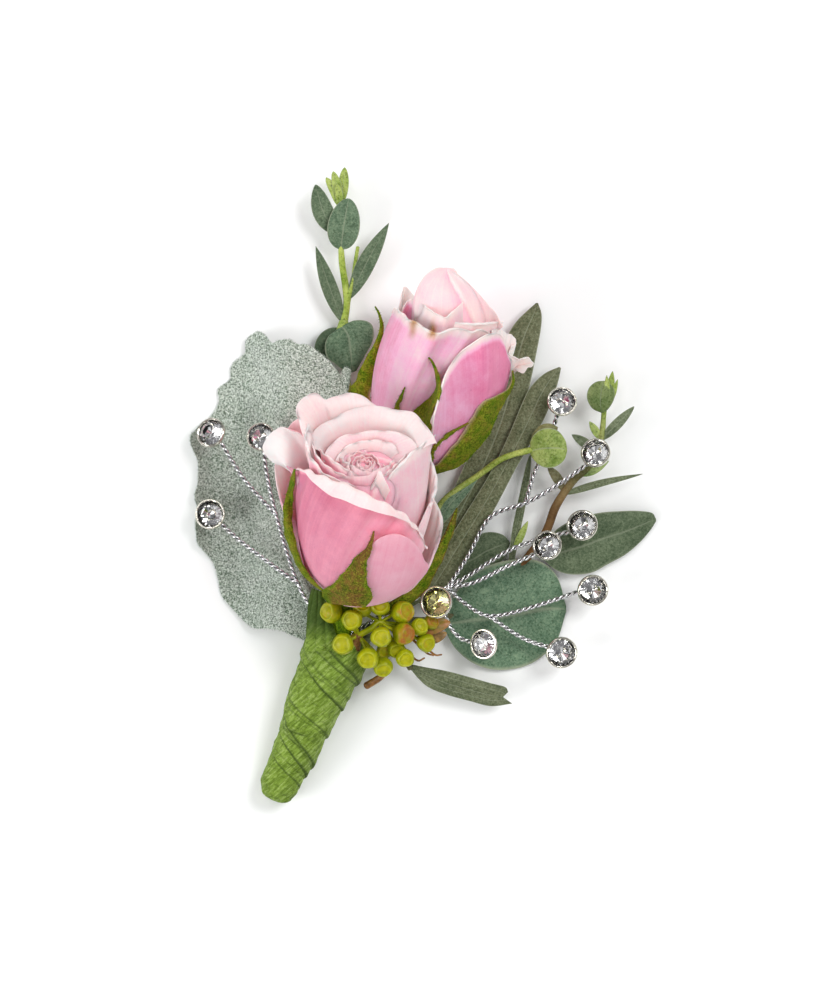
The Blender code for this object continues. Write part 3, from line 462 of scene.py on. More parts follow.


# %% [markdown]
# The handle is floral tape, a waxed crepe paper that is stretched and wound slantwise down the
# stems. A tube would look like a stick, so the radius is worked out from the winding: it
# grows a little along each turn and drops at the tape's edge, which makes the slanted ledges.
# Two extra edges per turn, creases and fine crepe lines come on top, and painted shade darkens the ledges'
# corners and the creases.

# %% Tape finish
tape = Finish("green_floral_tape", 0.62, Specular_IOR_Level=0.18)
cloudy = tape.noise(tape.at(), 0.3, 5, 0.6)
crepe = tape.noise(tape.at((0.32, 2.0, 1.0), (0, 0, 0.72)), 1.1, 6, 0.65, 0.4)
fibres = tape.noise(tape.at((0.45, 1.4, 1.0), (0, 0, -0.45)), 1.4, 6, 0.7, 0.3)
green = tape.mix(tape.steps(cloudy, 0.3, 0.7), (0.17, 0.27, 0.025), (0.28, 0.42, 0.06))
green = tape.mix(tape.steps(crepe, 0.51, 0.62, 0, 0.5), green, (0.50, 0.64, 0.20))
green = tape.mix(tape.steps(crepe, 0.49, 0.38, 0, 0.6), green, (0.06, 0.11, 0.008))
green = tape.mix(tape.steps(fibres, 0.47, 0.40, 0, 0.5), green, (0.06, 0.11, 0.008))
# Painted shade: darker green in the ledges' corners, along the creases, under the bunched folds and in the open
# top.
green = tape.mix(tape.maths("MULTIPLY", tape.value("seam"), 0.8), green, (0.04, 0.075, 0.01))
green = tape.mix(tape.value("neck"), green, (0.045, 0.095, 0.015))
tape_rough = tape.steps(crepe, 0.3, 0.7, 0.7, 0.42)
crepe_bump = tape.bump(tape.maths("ADD", crepe, tape.maths("MULTIPLY", fibres, 0.9)), 1.0, 0.4)
tape_material = tape.wire(Base_Color=green, Roughness=tape_rough, Normal=crepe_bump)


# %% The taped handle
# Each edge of the tape: its turns down the handle, its drop and its place in the turn
TAPE_EDGES = [(2.3, 0.50, 0.06), (2.9, 0.24, 0.30), (1.8, 0.38, 0.58), (3.8, 0.14, 0.73), (2.3, 0.16, 0.2)]
# Each bunched fold at the front: its place along the handle, width, height and slope
TAPE_BUNCHES = [(0.585, 0.013, 0.75, 0.10), (0.640, 0.012, 0.45, -0.25)]
# The closed end: how wide each ring is, and how far past the end
TAPE_END = [(0.93, 0.45), (0.80, 0.85), (0.62, 1.15), (0.42, 1.32), (0.2, 1.4)]
LOWEST = 0.02


def handle():
    """The radius at height s and turn t is the handle's own, plus a ledge for each overlap of the tape that
    rises with the fraction of the turn wound so far, plus creases. A value of painted shade is 1 in a ledge's
    corner, and smaller along the creases, below the bunched folds, in the open top and in the pleats of the
    end."""
    rows, sides = 320, 180
    s = np.linspace(0, 1, rows)[:, None]
    t = np.linspace(0, 1, sides, endpoint=False)[None, :]
    base = np.interp(s, np.linspace(0, 1, len(HANDLE_RADII)), HANDLE_RADII)
    angle = 2 * math.pi * t
    flat = np.stack([np.cos(angle) * base, np.sin(angle) * base, 34 * s + 0 * angle], axis=-1)
    radius, seam = base + 0 * t, 0 * s + 0 * t
    for turns, drop, shift in TAPE_EDGES:
        wound = (s * turns + t + shift + 0.035 * ripple(flat, 0.35, int(99 * shift))) % 1.0
        radius = radius + drop * (wound - 0.5) * (1 - ease(0.975, 1.0, wound))
        corner = ease(0.955, 0.99, wound) + (1 - ease(0, 0.015, wound))
        # Painted shade in the corner under each tape edge.
        seam = np.maximum(seam, corner * min(1.0, drop * 3.2))
    radius = radius + 0.18 * ripple(flat, 0.9, 3) + 0.10 * ripple(flat, 2.2, 4)
    for number, turn in enumerate((0.6, -0.5, 1.1)):
        across = flat @ np.array([[math.cos(turn)], [math.sin(turn)], [0.5]])
        fold = abs(np.sin(0.9 * across[..., 0] + 1.3 * ripple(flat, 0.5, 20 + number)))
        radius = radius - 0.13 * (1 - ease(0.0, 0.12, fold))
        # Painted shade along each crease.
        seam = np.maximum(seam, 0.38 * (1 - ease(0.0, 0.05, fold)))
    for place, width, size, slope in TAPE_BUNCHES:
        along = s - place - slope * (t - 0.29)
        near = np.exp(-((t - 0.29) / 0.10) ** 2)
        radius = radius + size * near * np.exp(-(along / width) ** 2)
        # Painted shade just below each bunched fold.
        seam = np.maximum(seam, 0.9 * near * np.exp(-((along - 1.5 * width) / (0.5 * width)) ** 2))
    top, end = ease(0.045, 0.0, s), ease(0.93, 1.0, s)
    radius = radius * (1 - 0.16 * end**2) - top * (0.4 + 0.3 * np.sin(3 * angle + 0.8))
    out = np.cos(angle)[..., None] * HANDLE_SIDE + np.sin(angle)[..., None] * HANDLE_UP
    frayed = HANDLE_AXIS * (top * 0.5 * np.sin(2 * angle + 1))[..., None]
    centre = HANDLE_TOP + (HANDLE_END - HANDLE_TOP) * s[..., None] + frayed
    grid = centre + out * radius[..., None]
    caps = []
    for inset, fall in TAPE_END:
        pleat = 1 + 0.04 * np.sin(7 * angle + 3 * inset)
        caps.append(HANDLE_END - HANDLE_AXIS * fall + out[-1:] * (radius[-1:] * inset * pleat)[..., None])
    brim = grid[:1] - out[:1] * 0.6 + HANDLE_AXIS * 0.1
    well = HANDLE_TOP - HANDLE_AXIS * 0.6 + (grid[:1] - HANDLE_TOP) * 0.62
    grid = np.concatenate([well, brim, grid, *caps])
    grid[..., 2] = np.maximum(grid[..., 2], LOWEST)
    ends = 0.25 * abs(np.sin(3.5 * angle)) ** 6
    # Painted shade: dark in the open top, less at its brim, and in the pleats of the closed end.
    seam = np.concatenate([seam[:1] * 0 + 0.8, seam[:1] * 0 + 0.4, seam * (1 - end) + end * ends,
                           *[ends] * len(TAPE_END)])
    skins = Skins()
    skins.rings(grid, seam=np.clip(seam, 0, 1))
    # A loose end of the tape reaches up over the stems under the front rose
    left = [(312, 588, 9.6), (309, 600, 10.6), (307, 618, 12.0), (306, 636, 13.6), (307, 652, 14.4)]
    right = [(322, 592, 11.0), (326, 604, 12.0), (330, 618, 13.0), (336, 634, 13.8), (342, 650, 14.2)]
    u, v = np.linspace(0, 1, 60)[:, None, None], np.linspace(0, 1, 30)[None, :, None]
    left, right = smooth_path(seen(left), 60)[:, None], smooth_path(seen(right), 60)[:, None]
    sheath = left * (1 - v) + right * v
    pleat = abs(np.sin(10 * v + 4 * u))
    lift = 1.6 * v * (1 - v) + 0.3 * pleat + 0.16 * ripple(sheath, 1.3, 6)[..., None]
    # Painted shade in the pleats of the loose end.
    skins.sheet(sheath + lift * UP, 0.4, 0.4, neck=0.85 - 0.75 * ease(0.5, 0.95, u[..., 0]) + 0 * v[..., 0],
                seam=0.6 * (1 - ease(0.0, 0.25, pleat))[..., 0])
    skins.piece("taped_handle", tape_material, "handle_tape", sharp=70)


handle()

# %% [markdown]
# A rose is built in its own frame, as in the CAD model: turn 0 is its right, 90 its front, 180
# its left and 270 its back, and height runs along its axis from the calyx. A petal is drawn by
# its rim, point by point where the photograph shows it, with the height of each point along
# the axis. From the foot the sheet bellies out and then bends to that rim, and may roll on
# over it as a lip. Petals that the photograph hides are drawn by turn, radius and height.

# %% The rose's frame and its petals
LIP_ROWS = 12


class Rose:
    """A rose's base, and its own three directions: the axis leans that many degrees round from
    the picture's right, and rises that many from the surface."""

    def __init__(self, base, lean, rise):
        plan, lift = math.radians(lean), math.radians(rise)
        self.base = np.array(base)
        self.axis = np.array([math.cos(plan) * math.cos(lift), math.sin(plan) * math.cos(lift), math.sin(lift)])
        self.right = np.array([math.sin(plan), -math.cos(plan), 0.0])
        self.front = np.cross(self.right, self.axis)
        self.frame = np.array([self.right, self.front, self.axis])

    def own(self, points):
        """Picture points with heights along the axis, to right, front and height. The flat place
        less what the height adds is split between right and front; four rounds settle the
        camera's perspective."""
        column, row, height = np.asarray(points, float).T
        flat = on_ground(column, row) - CAMERA[:2]
        level = np.zeros(len(height))
        for _ in range(4):
            place = CAMERA[:2] + flat * (1 - level / CAMERA[2])[:, None]
            rest = place - self.base[:2] - height[:, None] * self.axis[:2]
            side = np.linalg.solve(np.array([self.right[:2], self.front[:2]]).T, rest.T).T
            level = self.base[2] + side[:, 1] * self.front[2] + height * self.axis[2]
        return np.column_stack([side, height])

    def petal(self, rim, turn, half, low, high, lip=0.0, roll=120.0, foot=(1.8, 0.8), ruffle=0.15,
              waves=5.0, phase=0.0, own=False, rows=30, columns=54):
        """Four curves steer the sheet: the foot, a low and a high belly ring given by radius and
        height over half the turn to either side, and the rim. Down each column they are the
        handles of a cubic curve. A belly radius may be a row of numbers read over the turn, and
        its height sinks where the rim is low. Past the rim the lip goes on along that curve's
        end, turning outwards by the roll in its first half."""
        rim = np.asarray(rim, float)
        if own:
            angle = np.radians(rim[:, 0])
            rim = np.column_stack([np.cos(angle) * rim[:, 1], np.sin(angle) * rim[:, 1], rim[:, 2]])
        else:
            rim = self.own(rim)
        rim = smooth_path(rim if np.cross(rim[0, :2], rim[-1, :2]) > 0 else rim[::-1], columns)
        u = np.linspace(-1, 1, columns)
        angle = np.radians(turn + half * u)
        ring = []
        for share, (radius, height) in ((0.9, foot), (0.95, low), (1.0, high)):
            turned = np.radians(turn) * (1 - share) + angle * share
            radius = np.interp(u, np.linspace(-1, 1, np.size(radius)), np.broadcast_to(radius, np.size(radius)))
            height = np.minimum(height, 0.8 * rim[:, 2]) if height < 24 else height + 0 * u
            ring.append(np.column_stack([np.cos(turned) * radius, np.sin(turned) * radius, height]))
        t = np.linspace(0, 1, rows)[:, None, None]
        sheet = ((1 - t) ** 3 * ring[0] + 3 * t * (1 - t) ** 2 * ring[1]
                 + 3 * t**2 * (1 - t) * ring[2] + t**3 * rim)
        s = np.broadcast_to(np.linspace(0, 1, rows)[:, None], (rows, columns))
        if np.any(lip):
            width = np.interp(u, np.linspace(-1, 1, np.size(lip)), np.broadcast_to(lip, np.size(lip)))
            end = unit(rim - ring[2])
            out = np.column_stack([rim[:, :2], 0 * u])
            out = unit(out - end * (out * end).sum(axis=1, keepdims=True))
            q = np.linspace(0, 1, LIP_ROWS + 1)[:, None, None]
            bend = np.radians(roll) * ease(-0.05, 0.5, q)
            steps = (np.cos(bend) * end + np.sin(bend) * out) * (width / LIP_ROWS)[None, :, None]
            sheet = np.concatenate([sheet, rim + np.cumsum(steps[1:], axis=0)])
            s = np.concatenate([s, 1 + np.broadcast_to(q[1:, :, 0], (LIP_ROWS, columns))])
        normal = unit(np.cross(np.gradient(sheet, axis=0), np.gradient(sheet, axis=1)))
        curls = np.sin(waves * math.pi * u + phase + 2.0 * s) + 0.5 * np.sin(2.3 * waves * u - phase)
        size = ruffle * ease(0.45, 1.0, s) * curls
        sheet = sheet + normal * size[..., None]
        return self.base + sheet @ self.frame, u + 0 * s, s

    def place(self, radius, turn, height):
        """The base, plus the radius outwards at the turn, plus the height along the axis."""
        radius, turn, height = np.broadcast_arrays(radius, turn, height)
        out = np.cos(turn)[..., None] * self.right + np.sin(turn)[..., None] * self.front
        return self.base + out * radius[..., None] + self.axis * height[..., None]


FRONT_ROSE = Rose((-14.0, -19.0, 15.5), 84.0, 42.0)
BACK_ROSE = Rose((-0.8, 4.4, 7.6), 78.0, 25.0)

# %% [markdown]
# Petals are thin and moist: light goes a little way in, so the shader has some subsurface.
# Each point carries a tone, 0 for the creamy blush of the rims and 1 for the deep pink of the
# shaded bellies. The nodes add fine streaks that run from foot to rim, soft clouds and a few
# darker specks, all read from the petal's own UV or from Object coordinates.

# %% Petal finish
def petal_finish(name, stops, streak):
    made = Finish(name, 0.5, Specular_IOR_Level=0.3, Subsurface_Weight=0.5, Subsurface_Radius=(1.0, 0.55, 0.5),
                  Subsurface_Scale=2.2 * MM, Sheen_Weight=0.1, Sheen_Roughness=0.5)
    streaks = made.noise(made.at((60, 1.6, 1), source="UV"), 1.0, 5, 0.65, 0.5)
    clouds = made.noise(made.at(), 0.22, 5, 0.6)
    grain = made.noise(made.at(), 2.4, 4, 0.7)
    tone = made.maths("ADD", made.value("tone"), made.steps(streaks, 0.3, 0.7, -0.06, 0.06))
    tone = made.maths("ADD", tone, made.steps(clouds, 0.3, 0.7, -0.08, 0.08))
    tone = made.maths("ADD", tone, made.steps(grain, 0.3, 0.7, -0.04, 0.04))
    colour = made.ramp(tone, stops)
    specks = made.node("TexVoronoi", inputs={"Vector": made.at(), "Scale": 0.35, "Randomness": 1.0})
    speck = made.maths("MULTIPLY", made.steps(specks, 0.10, 0.05), made.value("tone"))
    colour = made.mix(made.maths("MULTIPLY", speck, 0.35), colour, streak)
    colour = made.mix(made.value("stain"), colour, (0.42, 0.20, 0.05))
    veins = made.bump(streaks, 0.18, 0.12)
    veins = made.bump(made.noise(made.at(), 1.6, 5, 0.6), 0.16, 0.1, under=veins)
    return made.wire(Base_Color=colour, Normal=veins)


pale_stops = [(0.0, (0.90, 0.80, 0.77)), (0.22, (0.96, 0.69, 0.68)), (0.5, (0.98, 0.45, 0.54)),
              (0.75, (0.92, 0.30, 0.41)), (1.0, (0.70, 0.17, 0.28))]
petal_pale = petal_finish("petal_blush", pale_stops, (0.55, 0.10, 0.20))

# %% [markdown]
# The front rose, from the outside in: guard petals that roll back at both sides, a large front
# petal with a rolled white lip, a right one that crosses it, tall ones behind, and a heart of
# small petals, each turned 137.5 degrees from the last as real ones grow.

# %% Front rose petals
PETAL_LOOK = {"out": 0.5, "inner": 0.45, "pale": 0.08, "side": 0.0, "low_tone": 0.0, "band": 1.2,
              "shade": (0.5, 0.0), "edge": 0.5}
GROWTH_TURN = 137.5


def bloom(rose, petals, skins, spots=()):
    """Adds each petal with its tones. The outer face has the tone out, which side deepens towards one side,
    shade past a fold, and low_tone at the foot; on the front rose's front petal that deeper side is painted
    shade on its left, away from the key light. The inner face has the tone pale at its rim and deepens towards
    the foot by inner. A band of that pale tone lies along the outer face's rim, and by the share edge down its
    two sides. At the spots the rim is brown."""
    for number, petal in enumerate(petals):
        look = {**PETAL_LOOK, **{key: value for key, value in petal.items() if key in PETAL_LOOK}}
        form = {key: value for key, value in petal.items() if key not in PETAL_LOOK}
        grid, u, s = rose.petal(**{"phase": 1.7 * number, **form})
        step = np.linalg.norm(np.diff(grid, axis=0), axis=2)
        run = np.concatenate([np.zeros((1, grid.shape[1])), np.cumsum(step, axis=0)])
        crest = run[np.argmin(abs(s[:, 0] - 1.0))]
        breadth = np.linalg.norm(np.diff(grid, axis=1), axis=2).sum(axis=1)[:, None] / 2
        sides = look["edge"] * ease(0.45, 0.1, (1 - abs(u)) * breadth) * ease(0.3, 0.6, s)
        pale = np.maximum(ease(look["band"], 0.2 * look["band"], crest - run), sides)
        # The side tone: painted shade on the front petal's left, away from the key light; the petal's own
        # deeper colour on the others.
        outer = look["out"] + look["side"] * u * ease(0.15, 0.6, s) + look["low_tone"] * ease(0.6, 0.1, s)
        fold, deeper = look["shade"]
        outer = outer + deeper * ease(fold - 0.1, fold + 0.1, u + 0.05 * np.sin(5 * s))
        outer = outer * (1 - pale) + (look["pale"] + 0.06) * pale
        within = look["inner"] * (1 - ease(0.35, 0.93, s)) + look["pale"]
        away = [np.hypot(1.3 * (grid[..., 0] - x), 0.55 * (grid[..., 1] - y)) for x, y in spots]
        stain = sum((ease(1.5, 0.2, distance) for distance in away), 0 * s)
        skins.sheet(grid, 0.4, 0.4, tone=(outer, within), stain=stain * ease(0.78, 0.95, s))


def packed(rose, skins, profile, lobes, wind, ledge, tone, edge_tone, centre=(0.0, 0.0), tip=0.0,
           phase=0.0, rows=120, sides=200):
    """The closed petals in a bud's middle, as one wound body: a profile of (radius, height)
    about the axis, and on it a saw-toothed ledge for each lobe that winds up towards the tip.
    A lobe's edge is pale, and the petal beside it is painted a deeper tone as shade where it goes under that
    edge. The middle is shifted by centre, and the tip leans right by so much more."""
    s = np.linspace(0, 1, rows)[:, None]
    radius, height = smooth_path(np.array(profile, float), rows).T
    turn = np.linspace(0, 2 * math.pi, sides, endpoint=False)[None, :]
    bumps = 0.06 * np.sin(3 * turn + 5 * s + phase) + 0.04 * np.sin(5 * turn - 7 * s)
    wound = (turn * lobes / (2 * math.pi) + wind * s + phase + bumps) % 1.0
    size = ledge * ease(0.0, 0.25, s) * np.minimum(1, radius[:, None] / 2.0)
    swell = size * (wound - 0.5) * (1 - ease(0.95, 1.0, wound))
    reach = radius[:, None] + swell * 0.7
    rise = height[:, None] + swell * ease(0.3, 1.0, s)
    shift = rose.right * centre[0] + rose.front * centre[1]
    grid = rose.place(reach, turn, rise) + shift * ease(0.0, 0.5, s)[..., None]
    grid = grid + rose.right * tip * ease(0.55, 1.0, s)[..., None]
    # Painted shade: a deeper pink where the petal goes under the next lobe's edge.
    depth = tone + 0.12 * ease(0.35, 0.0, wound)
    depth = depth * (1 - ease(0.86, 0.93, wound)) + edge_tone * ease(0.86, 0.93, wound)
    skins.rings(grid, tone=depth, stain=0.0)


# A heart petal's rim: the turn from its middle, the share of its reach, and the height
HEART_RIM = [(-85, 1.0, -1.2), (-50, 0.95, 0.0), (-10, 0.8, 0.4), (12, 0.85, 0.1), (50, 1.0, -0.2),
             (85, 1.15, -1.4)]


def heart(rose, count, turn, size, height, forward, skins):
    """Small petals wound about the axis, each 137.5 degrees on and closer in than the last. The
    whole heart lies forward of the axis, as the tall petals behind push it."""
    for number in range(count):
        near = 1 - number / count
        middle, reach = turn + GROWTH_TURN * number, size * near + 0.5
        rim = [(middle + a, reach * r, height + h * near + 0.25 * math.sin(3 * number + a))
               for a, r, h in HEART_RIM]
        grid, _, s = rose.petal(rim, middle, 80, (reach * 1.0, 22), (reach * 1.25 + 0.3, height - 2),
                                foot=(0.5, 20), ruffle=0.12, phase=2.1 * number, own=True, rows=18, columns=30)
        grid = grid + rose.front * (forward * ease(0.2, 0.9, s))[..., None]
        within = 0.34 * (1 - ease(0.75, 1.0, s)) + 0.2
        skins.sheet(grid, 0.26, 0.5, tone=(0.46 - 0.22 * ease(0.8, 1, s), within), stain=0.0)


FRONT_PETALS = [
    # Guard petals: the left one rolls far back, two stand off on the right, and one closes the back
    dict(rim=[(299, 471, 25.5), (291, 471, 25.5), (281, 466, 25.8), (268, 458, 27), (263, 448, 28.5),
              (267, 438, 30.5), (275, 430, 32), (283, 427, 33), (290, 432, 34)], turn=178, half=40,
         low=(10.5, 4), high=(10.2, 35), out=0.58, inner=0.1, pale=0.02, ruffle=0.08, band=0.8),
    dict(rim=[(296, 522, 15.5), (285, 508, 18.5), (277, 487, 22), (275, 468, 25), (278, 452, 28),
              (284, 437, 31), (291, 424, 33.5), (301, 417, 35.5)], turn=184, half=42, low=(11.5, 1),
         high=(13.2, 14), out=0.5, inner=0.5, pale=0.3, ruffle=0.06, band=0.5),
    dict(rim=[(426, 446, 29), (430, 460, 27.5), (434, 474, 26), (435, 487, 24.5), (432, 498, 23.5),
              (429, 507, 23)], turn=8, half=42, low=(11, 2), high=(14.0, 15), lip=(0.3, 0.6, 0.4), roll=100,
         out=0.3, band=0.8),
    dict(rim=[(424, 482, 23), (433, 500, 20), (439, 514, 17), (441, 526, 15), (437, 542, 12), (430, 556, 9)],
         turn=-8, half=40, low=(11.0, 0), high=(15.6, 7), lip=(0.2, 0.5, 0.3), roll=80, out=0.36, band=0.8),
    dict(rim=[(-135, 13.0, 27), (-110, 13.2, 30), (-85, 12.8, 31), (-55, 13.0, 30), (-30, 13.0, 26)], turn=-82,
         half=70, own=True, low=(11, 1), high=(13.6, 14), lip=0.4, roll=60, out=0.45),
    # The tall back petals, left and right, whose inner faces lean back towards the viewer
    dict(rim=[(309, 463, 31), (306, 445, 34.5), (301, 424, 37.3), (297, 411, 38.3), (302, 401, 38.5),
              (310, 394.5, 38.6), (317, 394, 38.4), (325, 401, 37.6), (335, 397.5, 38), (349, 394, 38),
              (363, 397, 37.7), (373, 404, 37), (384, 413, 35.6)], turn=222, half=66, low=(12.6, 6),
         high=(6.5, 35.5), lip=0.25, roll=90, out=0.5, inner=0.34, pale=0.2, columns=74, ruffle=0.08, band=0.6),
    dict(rim=[(311, 449, 33), (312, 436, 34.5), (320, 427, 35.4), (334, 419, 36.2), (348, 412, 36.6),
              (366, 407, 37), (384, 408, 37.6), (400, 411, 37.8), (413, 414, 37.8), (423, 423, 37.8),
              (431, 434, 37.3), (436, 443, 36.4)], turn=275, half=82, low=(12, 6), high=(3.6, 35), lip=0.25,
         roll=80, out=0.4, inner=0.3, pale=0.19, columns=74, ruffle=0.08, band=0.6),
    # The right petal, whose rim runs from the back down to the folded tip, and the short lobe below it
    dict(rim=[(435, 435, 35.8), (430, 440, 36.2), (420, 447, 35.8), (410, 455, 35), (402, 463, 34.2),
              (394, 471, 33.3), (386, 480, 32)], turn=20, half=66, low=((11.2, 11, 10.0, 9.4), 0.5),
         high=((14.8, 14.8, 13.2, 11.6), 17), lip=(0.1, 0.5, 0.9, 0.3), roll=80, out=0.4, side=0.12,
         ruffle=0.08, band=0.9),
    dict(rim=[(366, 560, 19.4), (370, 548, 22.4), (378, 539, 24.6), (388, 535, 25.6), (399, 534.5, 25.6),
              (411, 540, 23.6), (420, 551, 19), (424, 562, 13.5)], turn=56, half=44, low=(10.6, -2.0),
         high=((17.4, 16.0, 15.4), 10.5), out=0.64, side=-0.08, pale=0.5, ruffle=0.04, band=0.6),
    # The front petal and its rolled white lip; the deeper tone on its left is painted shade, away from the key
    # light
    dict(rim=[(426, 548, 17), (419, 533, 22), (410, 522, 26.2), (398, 512, 29.2), (384, 505, 31.2),
              (368, 497, 32.6), (350, 488, 33.4), (335, 482.5, 33.6), (322, 477.5, 33), (310, 471.5, 31.6),
              (299, 469, 29)], turn=116, half=80, low=(10.8, -0.5), high=(14.4, 15.5),
         lip=(0.4, 0.6, 1.0, 1.6, 2.6, 3.7, 4.2, 2.6, 1.2, 0.9), roll=132, out=0.78, side=0.3, low_tone=-0.14,
         columns=80, ruffle=0.18, waves=9, pale=0.17, band=0.5),
    # Inner petals: left edge, back, and the front one that leans over the heart
    dict(rim=[(309, 424, 37), (306, 438, 36), (310, 454, 34.3), (320, 470, 33), (332, 478, 32.4),
              (347, 484, 31.8), (362, 490, 31)], turn=160, half=64, low=(8, 6), high=(9.6, 24), lip=0.3,
         roll=70, out=0.5, inner=0.5, pale=0.12, band=0.4),
    dict(rim=[(312, 441, 35), (314, 450, 34.6), (319, 459, 34.1), (326, 466, 33.5), (336, 472, 32.9),
              (348, 478, 32.3), (361, 483, 31.6)], turn=152, half=68, low=(7.6, 6), high=(9.0, 25), lip=0.2,
         roll=60, out=0.6, inner=0.55, pale=0.2, ruffle=0.1, band=0.3),
    dict(rim=[(324, 462, 32.6), (326, 453, 33.8), (333, 444, 34.6), (342, 437.5, 35), (355, 434, 35.4),
              (372, 432, 35.8), (388, 431.5, 36), (402, 435, 36), (412, 441, 35.6), (417, 450, 34.8),
              (415, 461, 33.2)], turn=268, half=84, low=(8, 8), high=(2.2, 33.0), lip=0.2, roll=80, out=0.3,
         inner=0.22, pale=0.17, ruffle=0.06, band=0.4),
    dict(rim=[(319, 449, 34), (325, 454.5, 34.3), (332, 460, 34.1), (341, 466.5, 33.7), (351, 472.5, 33.2),
              (362, 477, 32.6), (374, 481, 31.9)], turn=135, half=72, low=(7, 6), high=(8.4, 25), lip=0.2,
         roll=60, out=0.56, inner=0.5, pale=0.14, ruffle=0.1, band=0.4),
    dict(rim=[(407, 453, 33.8), (402, 459.5, 33.8), (395, 466, 33.4), (387, 473, 32.8), (379, 479, 32)],
         turn=22, half=62, low=(6.5, 3), high=(8.0, 25), lip=0.2, roll=60, out=0.46, inner=0.5, pale=0.14,
         ruffle=0.06, band=0.4),
    dict(rim=[(336, 461, 33.2), (341, 452, 34), (351, 445, 34.5), (364, 441.5, 34.8), (380, 441, 34.9),
              (393, 445, 34.7), (399, 453, 34)], turn=264, half=78, low=(5.5, 8), high=(1.6, 32.6), lip=0.15,
         roll=80, out=0.3, inner=0.3, pale=0.18, ruffle=0.06, band=0.4),
    dict(rim=[(340, 457, 33.6), (346, 463, 33.8), (355, 467.5, 33.7), (366, 470, 33.4), (378, 470, 33.2),
              (388, 466, 33.5), (394, 460, 33.6)], turn=92, half=76, low=(5, 8), high=(6.4, 28), lip=0.15,
         roll=60, out=0.46, inner=0.4, pale=0.16, ruffle=0.14, waves=8, band=0.3),
    dict(rim=[(373, 485, 31.8), (376, 478, 33.8), (380, 470.5, 35.2), (385, 480, 34.0), (390, 490.5, 32.0)],
         turn=78, half=20, low=(5, 16), high=(7.8, 28), roll=60, out=0.06, inner=0.2, pale=0.0, ruffle=0.04,
         columns=30),
]
skins = Skins()
bloom(FRONT_ROSE, FRONT_PETALS, skins)
FRONT_PACK = [(1.0, 4.0), (6.0, 10.0), (8.4, 20.0), (8.4, 27.0), (7.6, 30.5), (6.4, 31.9), (4.6, 32.6),
              (2.5, 33.0), (0.2, 33.0)]
packed(FRONT_ROSE, skins, FRONT_PACK, 5, 2.4, 0.8, tone=0.5, edge_tone=0.35, rows=60, sides=90)
heart(FRONT_ROSE, 9, 60, 3.5, 33.9, 2.0, skins)
front_bloom = np.concatenate(skins.points)
skins.piece("front_rose_petals", petal_pale, "front_rose_bloom")

# %% [markdown]
# The back rose is a tighter bud in a stronger pink: a front petal that overlaps a right one,
# a ragged rolled rim on its right, and a closed dome of pale petals that stands above them.

